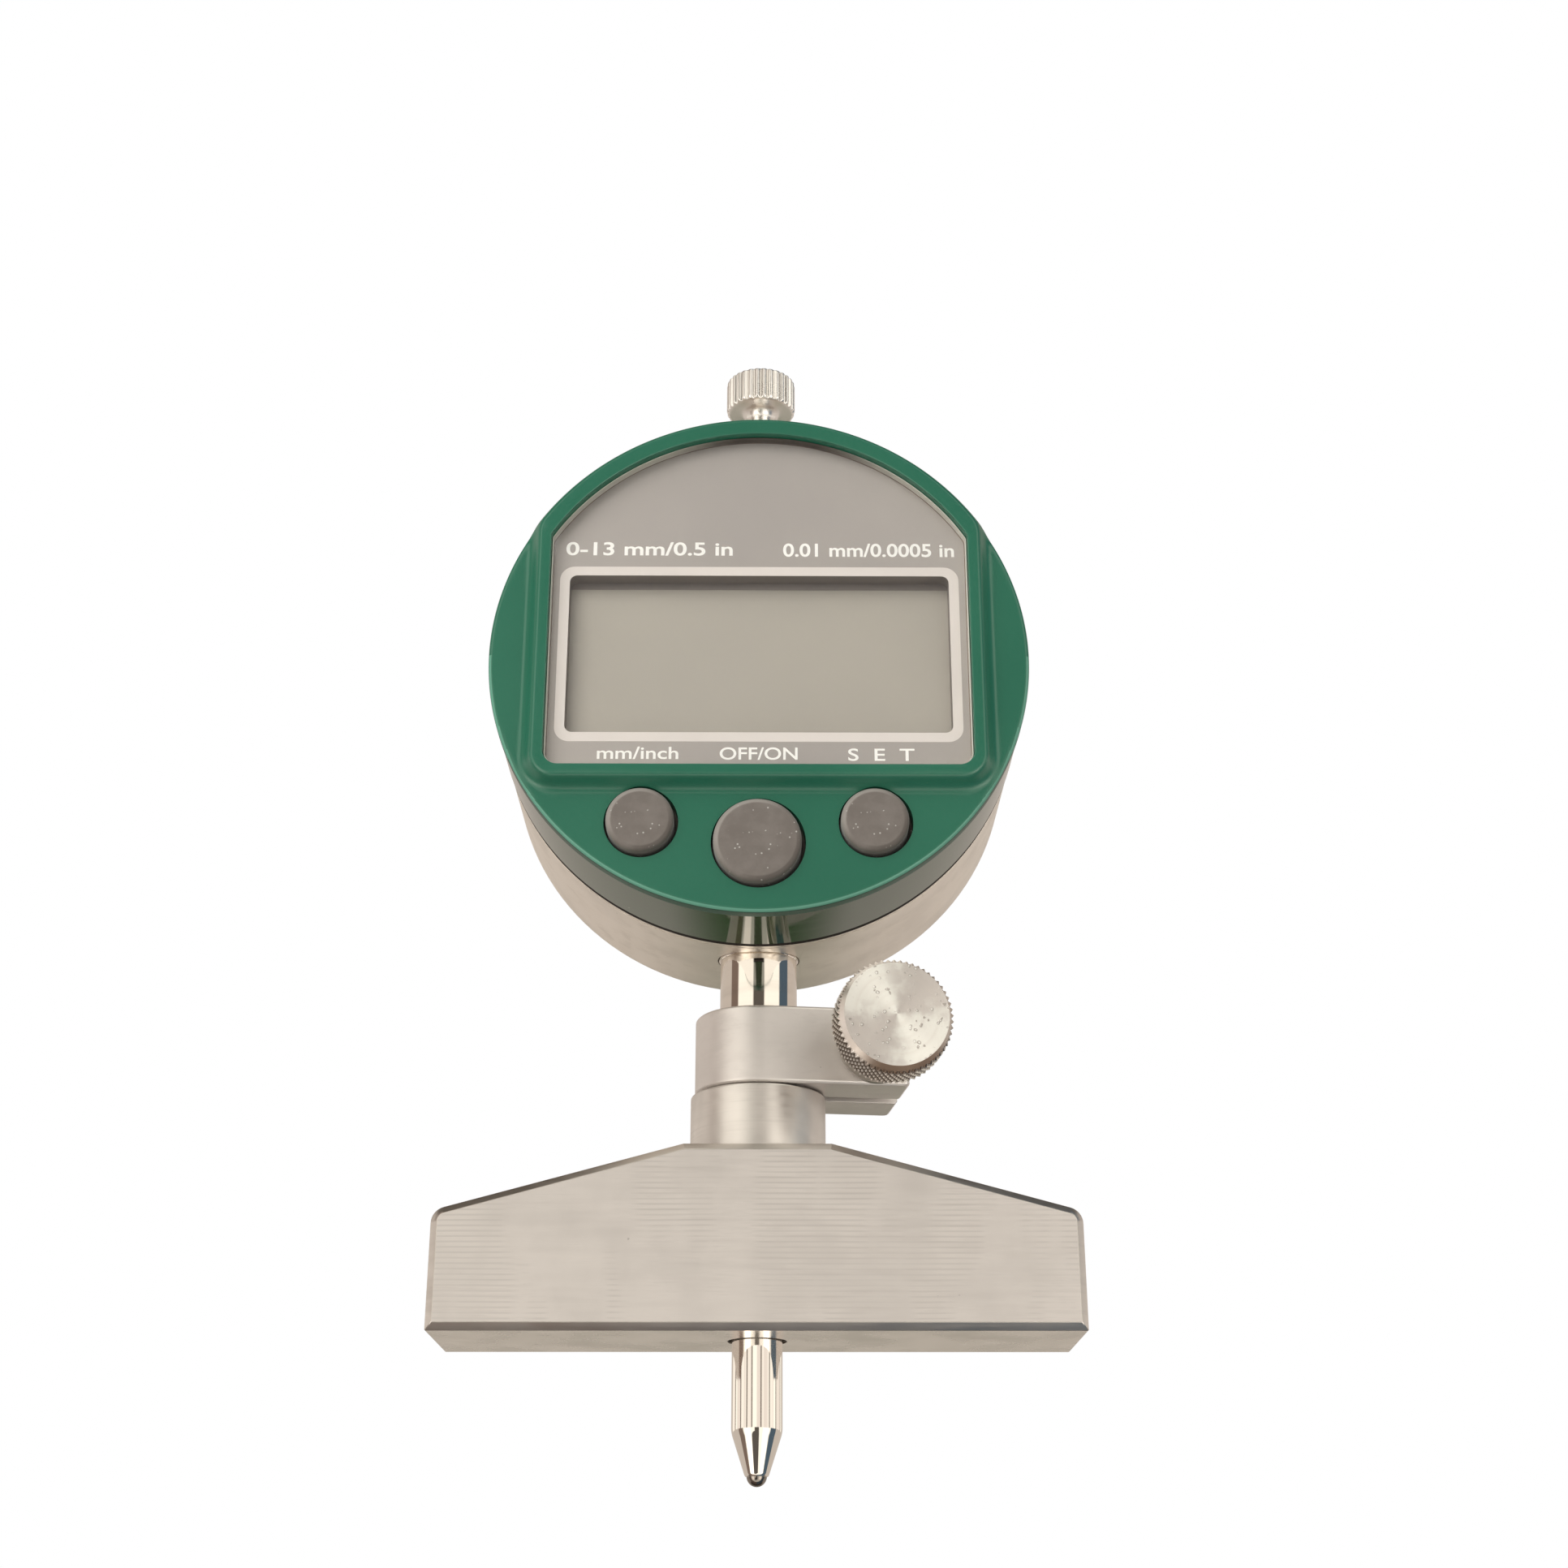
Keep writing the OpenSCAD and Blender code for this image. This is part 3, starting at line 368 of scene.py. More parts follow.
def groundSteel(name, colour, lines, roughness=0.47, lineDepth=0.0008, stains=0.04, pitch=0):
    # Fine grinding lines along one direction, faint cloudy stains and small dark specks
    startMaterial(name)
    point = objectPoint()
    streak = noise(objectPoint(lines), 1.0, 4, 0.6)
    patches = between(noise(point, 170.0, 2), 0.38, 0.62, 0.25, 1.0)
    cloud = between(noise(point, 120.0), 0.4, 0.66)
    specks = speckles(point, 700.0, (0.11, 0.06), 500.0, (0.66, 0.69))
    marks = times(between(streak, 0.48, 0.7, 0.0, 0.9), patches)
    tint = layered(colour, (cloud, scaled(colour, 1 - 2 * stains)), (marks, scaled(colour, 0.9)),
                   (times(specks, 0.5), scaled(colour, 0.45)))
    if pitch:
        # Short level marks left by grinding, in patches
        waves = times(parts(point)[2], 2 * math.pi / (pitch * mm))
        wobble = times(noise(point, 90.0, 2), 3.0)
        wave = calc("SINE", calc("ADD", waves, wobble))
        where = between(noise(objectPoint((150, 150, 60)), 1.0, 3), 0.47, 0.6)
        tint = blend(times(between(wave, 0.1, 0.9), where), tint, scaled(colour, 0.88))
    rough = between(streak, 0.3, 0.7, roughness - 0.05, roughness + 0.05)
    return setShader(tint, rough, {"Metallic": 1.0, "Normal": bump(streak, lineDepth)})


def polishedSteel(name, colour=(0.86, 0.80, 0.73), roughness=0.045):
    # Bright steel with faint wiping marks
    startMaterial(name)
    smear = noise(objectPoint((140, 140, 900)), 1.0)
    rough = between(smear, 0.35, 0.75, roughness, roughness + 0.05)
    tint = blend(between(smear, 0.3, 0.8), colour, scaled(colour, 0.9))
    return setShader(tint, rough, {"Metallic": 1.0})


def plainPlastic(name, colour, roughness, grain=0.004):
    # Even plastic, print or rubber with a fine grain
    startMaterial(name)
    texture = noise(objectPoint(), 9000.0, 3)
    wide = noise(objectPoint(), 60.0, 2)
    tint = blend(between(wide, 0.35, 0.65), scaled(colour, 0.93), colour)
    return setShader(tint, between(texture, 0.3, 0.7, roughness - 0.04, roughness + 0.06), {
        "Normal": bump(texture, grain)})


# Painted glow: seen in reflections, as in the polished stem, a surface shows as glowing ceiling colour,
# which stands for the bright bench in front lighting the head from below, apart from a middle band that widens towards
# the back
mirrorGlow = {"spread": 0.3, "edge": (-0.9, -0.4), "strength": 0.9}


def paintedGlowInMirrors():
    x, y = parts(addNode("NewGeometry").outputs["Position"])[:2]
    across = calc("ADD", calc("ABSOLUTE", x), times(y, mirrorGlow["spread"]))
    beside = between(across, *scaled(mirrorGlow["edge"], mm))
    mirrored = times(addNode("LightPath").outputs["Is Glossy Ray"], beside)
    glow = glowing("Emission", studio["ceiling"], mirrorGlow["strength"])
    return showShader(mixed(mirrored, plainShader().outputs[0], glow))


def ringFinish():
    # Smooth dark green lacquer, which shines where it is seen flat on, with faint marks round it. Seen in reflections
    # it shows a painted glow, except in a middle band
    startMaterial("glossyRing")
    marks = noise(objectPoint((60, 900, 60)), 1.0)
    specks = speckles(objectPoint(), 380.0, (0.07, 0.04), 260.0, (0.64, 0.66))
    tint = blend(specks, (0.016, 0.050, 0.013), (0.5, 0.52, 0.42))
    setShader(tint, between(marks, 0.35, 0.75, 0.05, 0.11), {"IOR": 1.7})
    return paintedGlowInMirrors()


finishes = {
    "ground_steel": groundSteel("groundSteel", (0.80, 0.765, 0.74), (170, 170, 2000), pitch=0.52),
    "turned_steel": groundSteel("turnedSteel", (0.80, 0.765, 0.725), (90, 90, 2200), 0.36, stains=0.09),
    "dark_steel": groundSteel("darkSteel", (0.42, 0.39, 0.36), (300, 300, 1500), 0.4),
    "polished_steel": polishedSteel("polishedSteel"),
    "satin_metal": groundSteel("satinMetal", (0.90, 0.85, 0.78), (400, 400, 400), 0.42, 0.0005),
    "green_plastic": plainPlastic("greenPlastic", (0.040, 0.170, 0.100), 0.42),
    "panel_print": plainPlastic("panelPrint", (0.43, 0.38, 0.335), 0.25, 0.0),
    "dark_plastic": plainPlastic("darkPlastic", (0.035, 0.033, 0.03), 0.45),
    "display_glass": plainPlastic("displayGlass", (0.35, 0.31, 0.25), 0.3, 0.0),
    "black_rubber": plainPlastic("blackRubber", (0.02, 0.02, 0.018), 0.6),
    "grey_rubber": plainPlastic("greyRubber", (0.205, 0.178, 0.155), 0.62),
    "board": plainPlastic("board", (0.02, 0.10, 0.045), 0.4),
    "brass": groundSteel("brassFinish", (0.72, 0.56, 0.30), (300, 300, 1500), 0.3),
    "scale_glass": plainPlastic("scaleGlass", (0.45, 0.45, 0.4), 0.15, 0.0),
    "carbide": polishedSteel("carbideFinish", (0.30, 0.27, 0.24), 0.15),
    "green_gloss": ringFinish(),
}
slotOf = {row["node"]: row["material_slot"] for row in frame["record"]["subparts"]}


def dressNode(name, finish):
    materials = frame["nodes"][name].data.materials
    materials.clear()
    materials.append(finish)


def dressNodes():
    for name, node in frame["nodes"].items():
        dressNode(name, finishes[slotOf[name]])
        weld = node.modifiers.new("joinCorners", "WELD")
        weld.merge_threshold = 0.001 * mm


dressNodes()
print("finishes assigned")


# Shapes

def tidyMesh(mesh, sharpAngle=32):
    # Joins doubled points, turns the faces outwards and keeps edges crisp past an angle
    work = bmesh.new()
    work.from_mesh(mesh)
    bmesh.ops.remove_doubles(work, verts=work.verts, dist=0.0004 * mm)
    bmesh.ops.recalc_face_normals(work, faces=work.faces)
    limit = math.radians(sharpAngle)
    for face in work.faces:
        face.smooth = True
    for edge in work.edges:
        edge.smooth = len(edge.link_faces) == 2 and edge.calc_face_angle(0) < limit
    work.to_mesh(mesh)
    work.free()


def newMesh(points, faces, sharpAngle=32):
    mesh = bpy.data.meshes.new("shape")
    mesh.from_pydata([Vector(point) * mm for point in points], [], faces)
    tidyMesh(mesh, sharpAngle)
    return mesh


def makePiece(name, mesh, body, slot, replaced=(), place=None, finish=None, even=False):
    mesh.name = name
    piece = bpy.data.objects.new(name, mesh)
    scene.collection.objects.link(piece)
    if place is not None:
        piece.matrix_world = place
        bpy.context.view_layer.update()
    mesh.materials.append(finish or finishes[slot])
    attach(piece, body)
    if replaced:
        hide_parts(*replaced)
    if even:
        evenNormals(piece)
    return piece


def evenNormals(piece):
    modifier = piece.modifiers.new("evenNormals", "WEIGHTED_NORMAL")
    modifier.keep_sharp = True


def settle(piece):
    # Makes the modifiers' result the piece's own mesh
    graph = bpy.context.evaluated_depsgraph_get()
    mesh = bpy.data.meshes.new_from_object(piece.evaluated_get(graph))
    piece.modifiers.clear()
    piece.data = mesh


def cutAway(piece, cutterMesh, place=None, sharpAngle=32):
    # The cutter is made in the scene for the cut and then thrown away
    cutter = bpy.data.objects.new("cutter", cutterMesh)
    if place is not None:
        cutter.matrix_world = place
    scene.collection.objects.link(cutter)
    modifier = piece.modifiers.new("cut", "BOOLEAN")
    modifier.object = cutter
    modifier.solver = "EXACT"
    settle(piece)
    bpy.data.objects.remove(cutter)
    tidyMesh(piece.data, sharpAngle)


def softenEdges(piece, width, angle=32):
    bevel = piece.modifiers.new("softEdges", "BEVEL")
    bevel.width = width * mm
    bevel.segments = 2
    bevel.limit_method = "ANGLE"
    bevel.angle_limit = math.radians(angle)
    bevel.use_clamp_overlap = True
    evenNormals(piece)


def onCircle(radius, angle):
    return radius * math.cos(angle), radius * math.sin(angle)


def quarter(steps):
    # Points from the start of a quarter turn to its end
    return [onCircle(1, math.pi / 2 * step / steps) for step in range(steps + 1)]


def sideArms(corners, index):
    # A corner and the directions to the corners before and after it
    corner = Vector(corners[index][:2])
    back = (Vector(corners[index - 1][:2]) - corner).normalized()
    ahead = (Vector(corners[(index + 1) % len(corners)][:2]) - corner).normalized()
    return corner, back, ahead


def rounded(corners, closed=False, steps=5):
    # An outline from corners (x, y, radius), each rounded by its radius
    outline = []
    for index, (x, y, radius) in enumerate(corners):
        if radius <= 0 or (not closed and index in (0, len(corners) - 1)):
            outline.append(Vector((x, y)))
            continue
        corner, back, ahead = sideArms(corners, index)
        half = back.angle(ahead) / 2
        middle = corner + (back + ahead).normalized() * radius / math.sin(half)
        first = corner + back * radius / math.tan(half) - middle
        last = corner + ahead * radius / math.tan(half) - middle
        sweep = math.atan2(first.x * last.y - first.y * last.x, first.dot(last))
        outline += [middle + Matrix.Rotation(sweep * step / steps, 2) @ first for step in range(steps + 1)]
    return outline


def insetPolygon(corners, inset):
    # Moves each side of a convex outline inwards
    moved = []
    for index, (x, y, radius) in enumerate(corners):
        corner, back, ahead = sideArms(corners, index)
        shift = (back + ahead).normalized() * inset / math.sin(back.angle(ahead) / 2)
        moved.append((x + shift.x, y + shift.y, max(radius - inset, 0.05)))
    return moved


def ringFaces(rows, columns, closed):
    faces = []
    for row in range(rows if closed else rows - 1):
        this, following = row * columns, (row + 1) % rows * columns
        for column in range(columns):
            beside = (column + 1) % columns
            faces.append((this + column, this + beside, following + beside, following + column))
    return faces


def stackedMesh(loops, sharpAngle=32, closed=False):
    # Matching closed loops joined in order, with flat ends or as a closed ring
    count = len(loops[0])
    faces = ringFaces(len(loops), count, closed)
    if not closed:
        last = (len(loops) - 1) * count
        faces += [tuple(range(count)), tuple(range(last, last + count))]
    return newMesh([point for loop in loops for point in loop], faces, sharpAngle)


def turnedMesh(profile, segments=144, closed=False, sharpAngle=32):
    # A profile of (radius, height) turned about +Z
    angles = [2 * math.pi * step / segments for step in range(segments)]
    points = [(*onCircle(radius, angle), height) for radius, height in profile for angle in angles]
    return newMesh(points, ringFaces(len(profile), segments, closed), sharpAngle)


def boxMesh(low, high):
    x0, y0, z0 = low
    x1, y1, z1 = high
    return stackedMesh([[(x0, y0, z), (x1, y0, z), (x1, y1, z), (x0, y1, z)] for z in (z0, z1)])


def rodMesh(radius, low, high, segments=96):
    return turnedMesh([(0, low), (radius, low), (radius, high), (0, high)], segments)


def facingFront(origin):
    # A local frame with +Z towards the front and +X to the right
    return Matrix.Translation(Vector(origin) * mm) @ Matrix(((1, 0, 0), (0, 0, -1), (0, 1, 0))).to_4x4()


# The depth base
chamferSteel = groundSteel("chamferSteel", (0.70, 0.66, 0.62), (170, 170, 2000), 0.33)
lappedSteel = polishedSteel("lappedSteel", (0.97, 0.905, 0.85), 0.25)
baseLow, baseHigh = nodeBox("depth_base")
sleeveLow, sleeveHigh = nodeBox("guide_sleeve")
baseBar = {
    "endHeight": 11.5,
    "topWidth": 14.6,
    "chamfer": 0.7,
    "shoulderRadius": 1.6,
    "topEdgeRadius": 0.3,
    "lowerEdgeRadius": 0.15,
    "chamferSoftness": 0.06,
    "rodHole": 5.9,
    "sharpAngle": 60,
    "chamferFacing": (0.3, 0.95),
    "lowerFacing": -0.9,
}
guideSleeve = {
    "bore": 8.06,
    "sleeve": 10.0,
    "sleeveRoot": 1.2,
    "bossTop": 24.4,
    "edge": 0.25,
    "rimEdge": 0.15,
    "footEdge": 0.1,
    "slot": 0.8,
    "slotTurns": (45, 135),
}


def makeBase(shape):
    half, flat = baseHigh.x, shape["topWidth"] / 2
    corners = [
        (half, 0, shape["lowerEdgeRadius"]), (half, shape["endHeight"], shape["shoulderRadius"]),
        (flat, baseHigh.z, shape["topEdgeRadius"]), (-flat, baseHigh.z, shape["topEdgeRadius"]),
        (-half, shape["endHeight"], shape["shoulderRadius"]), (-half, 0, shape["lowerEdgeRadius"]),
    ]
    chamfer, soft, sharp = shape["chamfer"], shape["chamferSoftness"], shape["sharpAngle"]
    front, rear = baseLow.y, baseHigh.y
    levels = [
        (chamfer + soft, front), (chamfer - soft / 2, front + soft / 2), (soft / 2, front + chamfer - soft / 2),
        (0, front + chamfer + soft), (0, rear - chamfer - soft), (soft / 2, rear - chamfer + soft / 2),
        (chamfer - soft / 2, rear - soft / 2), (chamfer + soft, rear),
    ]
    loops = []
    for inset, depth in levels:
        outline = rounded(insetPolygon(corners, inset), closed=True, steps=8)
        loops.append([(point.x, depth, point.y) for point in outline])
    bar = makePiece("baseBar", stackedMesh(loops, sharp), "base", "ground_steel", ["depth_base"])
    past = baseHigh.z + 5
    cutAway(bar, rodMesh(shape["rodHole"] / 2, -5, past), sharpAngle=sharp)
    cutAway(bar, rodMesh(guideSleeve["bore"] / 2, sleeveLow.z, past), sharpAngle=sharp)
    # The chamfers are smoother than the ground faces, and the lower face is lapped
    bar.data.materials.append(chamferSteel)
    bar.data.materials.append(lappedSteel)
    low, high = shape["chamferFacing"]
    for face in bar.data.polygons:
        if low < abs(face.normal.y) < high:
            face.material_index = 1
        elif face.normal.z < shape["lowerFacing"]:
            face.material_index = 2
    evenNormals(bar)


def makeSleeve(shape):
    boss, foot, top = sleeveHigh.x, baseHigh.z - 1, sleeveHigh.z
    bore, sleeve, rim = shape["bore"] / 2, shape["sleeve"] / 2, shape["rimEdge"]
    profile = rounded([
        (bore, foot, 0), (boss, foot, 0), (boss, shape["bossTop"], shape["edge"]),
        (sleeve, shape["bossTop"], shape["footEdge"]), (sleeve, top, rim), (bore, top, rim), (bore, foot, 0)])
    piece = makePiece("bossAndSleeve", turnedMesh(profile, 160, closed=True), "base", "turned_steel", ["guide_sleeve"])
    slotLow, across, half = shape["bossTop"] + shape["sleeveRoot"], sleeve + 1, shape["slot"] / 2
    for turn in shape["slotTurns"]:
        slot = boxMesh((-across, -half, slotLow), (across, half, top + 1))
        cutAway(piece, slot, Matrix.Rotation(math.radians(turn), 4, "Z"))
    evenNormals(piece)


makeBase(baseBar)
makeSleeve(guideSleeve)
print("depth base done")

# The clamp and its knob stand turned round the stem
clampLow, clampHigh = nodeBox("clamp_ring")
clampMiddle = (clampLow.z + clampHigh.z) / 2
clamp = {
    "turn": 7,
    "radius": 6.5,
    "reach": 14.7,
    "chamfer": 0.25,
    "endRadius": 0.5,
    "bore": 10.06,
    "slit": 2.0,
    "screwHole": 4.06,
    "screwReach": 11.3,
    "edge": 0.08,
    "steps": 48,
}
clampPlace = Matrix.Rotation(math.radians(clamp["turn"]), 4, "Z")
clampSteel = groundSteel("clampSteel", (0.80, 0.765, 0.74), (300, 300, 900), 0.47, 0.0004, 0.03)


def makeClamp(shape):
    radius, reach, chamfer = shape["radius"], shape["reach"], shape["chamfer"]
    turns = [math.pi / 2 + math.pi * step / shape["steps"] for step in range(shape["steps"] + 1)]

    def outline(inset):
        side, end = radius - inset, reach - inset
        ends = [(0, -side, 0), (end, -side, shape["endRadius"]), (end, side, shape["endRadius"]), (0, side, 0)]
        return [onCircle(side, turn) for turn in turns] + [tuple(point) for point in rounded(ends)[1:-1]]

    levels = [(chamfer, clampLow.z), (0, clampLow.z + chamfer), (0, clampHigh.z - chamfer), (chamfer, clampHigh.z)]
    loops = [[(x, y, height) for x, y in outline(inset)] for inset, height in levels]
    ring = makePiece("clampRing", stackedMesh(loops), "clamp", "ground_steel", ["clamp_ring"], clampPlace, clampSteel)
    below, above, half = clampLow.z - 1, clampHigh.z + 1, shape["slit"] / 2
    screwPlace = clampPlace @ facingFront((shape["screwReach"], 0, clampMiddle))
    cutAway(ring, rodMesh(shape["bore"] / 2, below, above, 160), clampPlace)
    cutAway(ring, boxMesh((0, -half, below), (reach + 1, half, above)), clampPlace)
    cutAway(ring, rodMesh(shape["screwHole"] / 2, -radius - 1, radius + 1), screwPlace)
    softenEdges(ring, shape["edge"])


knob = {
    "radius": 5.8,
    "faceRadius": 5.15,
    "thickness": 5.7,
    "chamferDepth": 1.1,
    "neckRadius": 3.3,
    "neckLength": 5.6,
    "neckEdges": (0.15, 0.3),
    "washer": 0.6,
    "knurlDepth": 0.3,
    "crest": 1.15,
    "diamonds": 58,
    "knurlRows": 5,
    "sharpAngle": 18,
}


def makeKnob(shape):
    back = -clamp["radius"] - shape["washer"] - shape["neckLength"]
    place = clampPlace @ facingFront((clamp["screwReach"], back, clampMiddle))
    thickness, radius, depth = shape["thickness"], shape["radius"], shape["knurlDepth"]
    columns, rows = 4 * shape["diamonds"], 4 * shape["knurlRows"]
    slope = (radius - 0.7 * depth - shape["faceRadius"]) / shape["chamferDepth"]

    def wave(phase):
        return 1 - abs(2 * (phase % 1) - 1)

    points = []
    for row in range(rows + 1):
        height = thickness * row / rows
        inward = min(height, thickness - height)
        limit = shape["faceRadius"] + slope * inward if inward < shape["chamferDepth"] else radius
        for column in range(columns):
            peak = min(wave((column + row) / 4), wave((column - row) / 4))
            reach = min(radius - depth + depth * min(peak * shape["crest"], 1), limit)
            points.append((*onCircle(reach, 2 * math.pi * column / columns), height))
    # Each diamond's facets meet along its ridges
    faces = []
    for a, b, c, d in ringFaces(rows + 1, columns, False):
        row, column = divmod(a, columns)
        faces += [(a, b, d), (b, c, d)] if (column + row + 1) % 4 == 0 else [(a, b, c), (a, c, d)]
    centre, last = len(points), rows * columns
    points += [(0, 0, thickness), (0, 0, 0)]
    for column in range(columns):
        beside = (column + 1) % columns
        faces += [(last + column, last + beside, centre), (beside, column, centre + 1)]
    mesh = newMesh(points, faces, shape["sharpAngle"])
    makePiece("knobHead", mesh, "knob", "turned_steel", ["clamp_knob"], place, turnedFaceFinish(), even=True)
    neck, low, (backEdge, frontEdge) = shape["neckRadius"], -shape["neckLength"], shape["neckEdges"]
    profile = rounded([(0, low, 0), (neck, low, backEdge), (neck, 0, frontEdge), (0, 0, 0)])
    makePiece("knobNeck", turnedMesh(profile), "knob", "turned_steel", ["clamp_knob"], place)


def turnedFaceFinish():
    # Turning marks round the knob's axis and pits bumped into it. Painted light on top: a diagonal sheen, a bright
    # painted glint in each pit with painted shade round it, and painted highlight and shade on the chamfer and in the
    # knurl
    startMaterial("turnedFace")
    point = addNode("TexCoord").outputs["Object"]
    x, y, z = parts(point)
    reach = length(x, y)
    around = calc("ARCTAN2", y, x)
    onRadius = addNode("CombineXYZ", {0: reach}).outputs[0]
    rings = noise(onRadius, 9000.0, 6, 0.7)
    wide = noise(onRadius, 1400.0, 2)
    ragged = addNode("TexNoise", {"Vector": point, "Scale": 2500.0}).outputs["Color"]
    ragged = addNode("VectorMath", {0: point, 1: ragged}, operation="ADD").outputs[0]
    warped = addNode("Mix", {0: 0.0003, 4: point, 5: ragged}, data_type="VECTOR").outputs[1]
    dots = cells(warped, 1600.0)
    # Each pit's colour is a painted glint, ringed by painted shade
    pits = times(between(dots, 0.36, 0.24), between(noise(point, 420.0, 2), 0.45, 0.55))
    pitShadeRings = times(between(dots, 0.15, 0.22), pits)

    def turnedBy(degrees):
        return calc("COSINE", calc("ADD", around, math.radians(degrees)))

    # Painted sheen: the turned face is painted brighter along one diagonal than across it, with random mottle added on
    # top
    paintedSheen = calc("POWER", calc("ABSOLUTE", turnedBy(45)), 2.0)
    mottle = calc("ADD", paintedSheen, between(noise(point, 650.0), 0.35, 0.65, -0.2, 0.2))
    # Painted highlight and shade: the chamfer is painted bright towards the lower left and dark below, and the knurl
    # has painted shade in its valleys
    paintedChamferLight = layered((0.60, 0.55, 0.50), (between(turnedBy(155), 0.6, 0.95), (1.0, 0.95, 0.90)),
                   (between(turnedBy(78), 0.5, 0.9), (0.30, 0.22, 0.17)))
    onSide = calc("LESS_THAN", z, (knob["thickness"] - knob["chamferDepth"]) * mm)
    pastFace = calc("GREATER_THAN", reach, (knob["faceRadius"] + 0.02) * mm)
    paintedValleyShade = between(reach, (knob["radius"] - 0.04) * mm, (knob["radius"] - 0.22) * mm)
    outside = calc("GREATER_THAN", reach, (knob["radius"] - 0.5) * mm)
    tint = layered(
        (0.74, 0.70, 0.67), (between(mottle, 0.1, 0.9), (1.0, 1.0, 0.95)),
        (between(wide, 0.4, 0.75, 0.0, 0.3), (0.80, 0.75, 0.70)), (times(pits, 0.9), (1.0, 1.0, 0.97)),
        (times(pitShadeRings, 0.75), (0.36, 0.31, 0.28)),
        (times(pastFace, calc("SUBTRACT", 1.0, onSide)), paintedChamferLight),
        (times(paintedValleyShade, onSide, outside), (0.10, 0.075, 0.055)))
    height = calc("ADD", rings, times(pits, -3.0))
    tangent = addNode("Tangent", direction_type="RADIAL", axis="Z").outputs[0]
    return setShader(tint, 0.30, {
        "Metallic": 1.0, "Anisotropic": 0.8, "Tangent": tangent, "Normal": bump(height, 0.0016)})


makeClamp(clamp)
makeKnob(knob)
print("clamp and knob done")


# Outlines in the front view of the head, as distances from its middle at an angle

def hitCircle(angle, centre, radius):
    along = Vector((math.cos(angle), math.sin(angle))).dot(centre)
    return along + math.sqrt(max(radius ** 2 - centre.length_squared + along ** 2, 0))


def windowOutline(halfWidth, halfHeight, corner, shift=0.0):
    def reach(angle):
        x, z = math.cos(angle), math.sin(angle)
        limits = [halfWidth / abs(x)] if abs(x) > 1e-9 else []
        if abs(z) > 1e-9:
            limits.append((halfHeight + math.copysign(shift, shift * z)) / abs(z))
        distance = min(limits)
        px, pz = distance * x, distance * z - shift
        if abs(px) > halfWidth - corner and abs(pz) > halfHeight - corner:
            centre = Vector((math.copysign(halfWidth - corner, px), math.copysign(halfHeight - corner, pz) + shift))
            return hitCircle(angle, centre, corner)
        return distance
    return reach


def archOutline(halfWidth, topRadius, drop, corner, shoulder):
    side = halfWidth - shoulder
    shoulderHeight = math.sqrt((topRadius - shoulder) ** 2 - side ** 2)
    shoulderLow = math.atan2(shoulderHeight, halfWidth)
    shoulderHigh = math.atan2(shoulderHeight, side)

    def reach(angle):
        x, z = abs(math.cos(angle)), math.sin(angle)
        folded = math.atan2(z, x)
        if shoulderLow < folded < shoulderHigh:
            return hitCircle(folded, Vector((side, shoulderHeight)), shoulder)
        distance = min(topRadius, halfWidth / max(x, 1e-9))
        if z < 0:
            distance = min(distance, drop / -z)
        if distance * x > halfWidth - corner and distance * z < corner - drop:
            return hitCircle(folded, Vector((halfWidth - corner, corner - drop)), corner)
        return distance
    return reach


# The steps round the head are close where the outlines have their corners
headSteps = {"close": 0.2, "wide": 0.7, "corners": (21.9, 35.9)}


def headAngles(steps):
    angles, angle = [], 0.0
    low, high = steps["corners"]
    while angle < 359.9:
        angles.append(math.radians(angle))
        fromAxis = min(angle % 180, 180 - angle % 180)
        angle += steps["close"] if low <= fromAxis < high else steps["wide"]
    return angles


angles = headAngles(headSteps)


def headPoint(reach, depth, angle):
    return reach * math.cos(angle), depth, headZ + reach * math.sin(angle)


def headLoop(outline, depth):
    return [headPoint(outline(angle), depth, angle) for angle in angles]


def grown(outline, amount):
    return lambda angle: outline(angle) + amount


# The moulded front cover
panel = {
    "halfWidth": 21.6,
    "topRadius": 25.35,
    "drop": 12.6,
    "corner": 1.55,
    "shoulder": 0.5,
    "gap": 0.05,
}
cover = {
    "face": -17.5,
    "archFace": -19.1,
    "rim": 1.45,
    "edge": 0.4,
    "halfWidth": 22.9,
    "archRadius": 27.1,
    "drop": 13.87,
    "corner": 2.5,
    "shoulder": 0.6,
    "slope": 0.92,
    "lead": 0.35,
    "crown": 0.5,
    "fillet": 0.87,
    "blend": 0.5,
    "rimEdge": 0.14,
    "back": -15.5,
    "spigotRadius": 26.15,
    "spigotInner": 25.15,
    "spigotDepth": 2,
    "sideSlope": 0.4,
    "rimSlope": 0.96,
    "sharpAngle": 40,
}
window = {"halfWidth": 19.6, "halfHeight": 8.85, "corner": 0.8, "shift": -0.1, "coverGap": 0.95, "wall": 0.9}
buttons = {
    "units_button": {"x": -11.7, "z": -18.35, "radius": 3.4},
    "power_button": {"x": 0.0, "z": -20.5, "radius": 4.4},
    "zero_button": {"x": 11.7, "z": -18.35, "radius": 3.4},
}
buttonGap = 0.32
buttonShift = (-0.1, 0.07)


def windowGrown(amount):
    return windowOutline(window["halfWidth"] + amount, window["halfHeight"] + amount, window["corner"],
                         window["shift"])


def panelOutline(gap=0.0):
    return archOutline(panel["halfWidth"] + gap, panel["topRadius"] + gap, panel["drop"] + gap, panel["corner"],
                       panel["shoulder"])


def softMin(a, b, reach):
    overlap = max(reach - abs(a - b), 0) / reach
    return min(a, b) - overlap * overlap * reach / 4


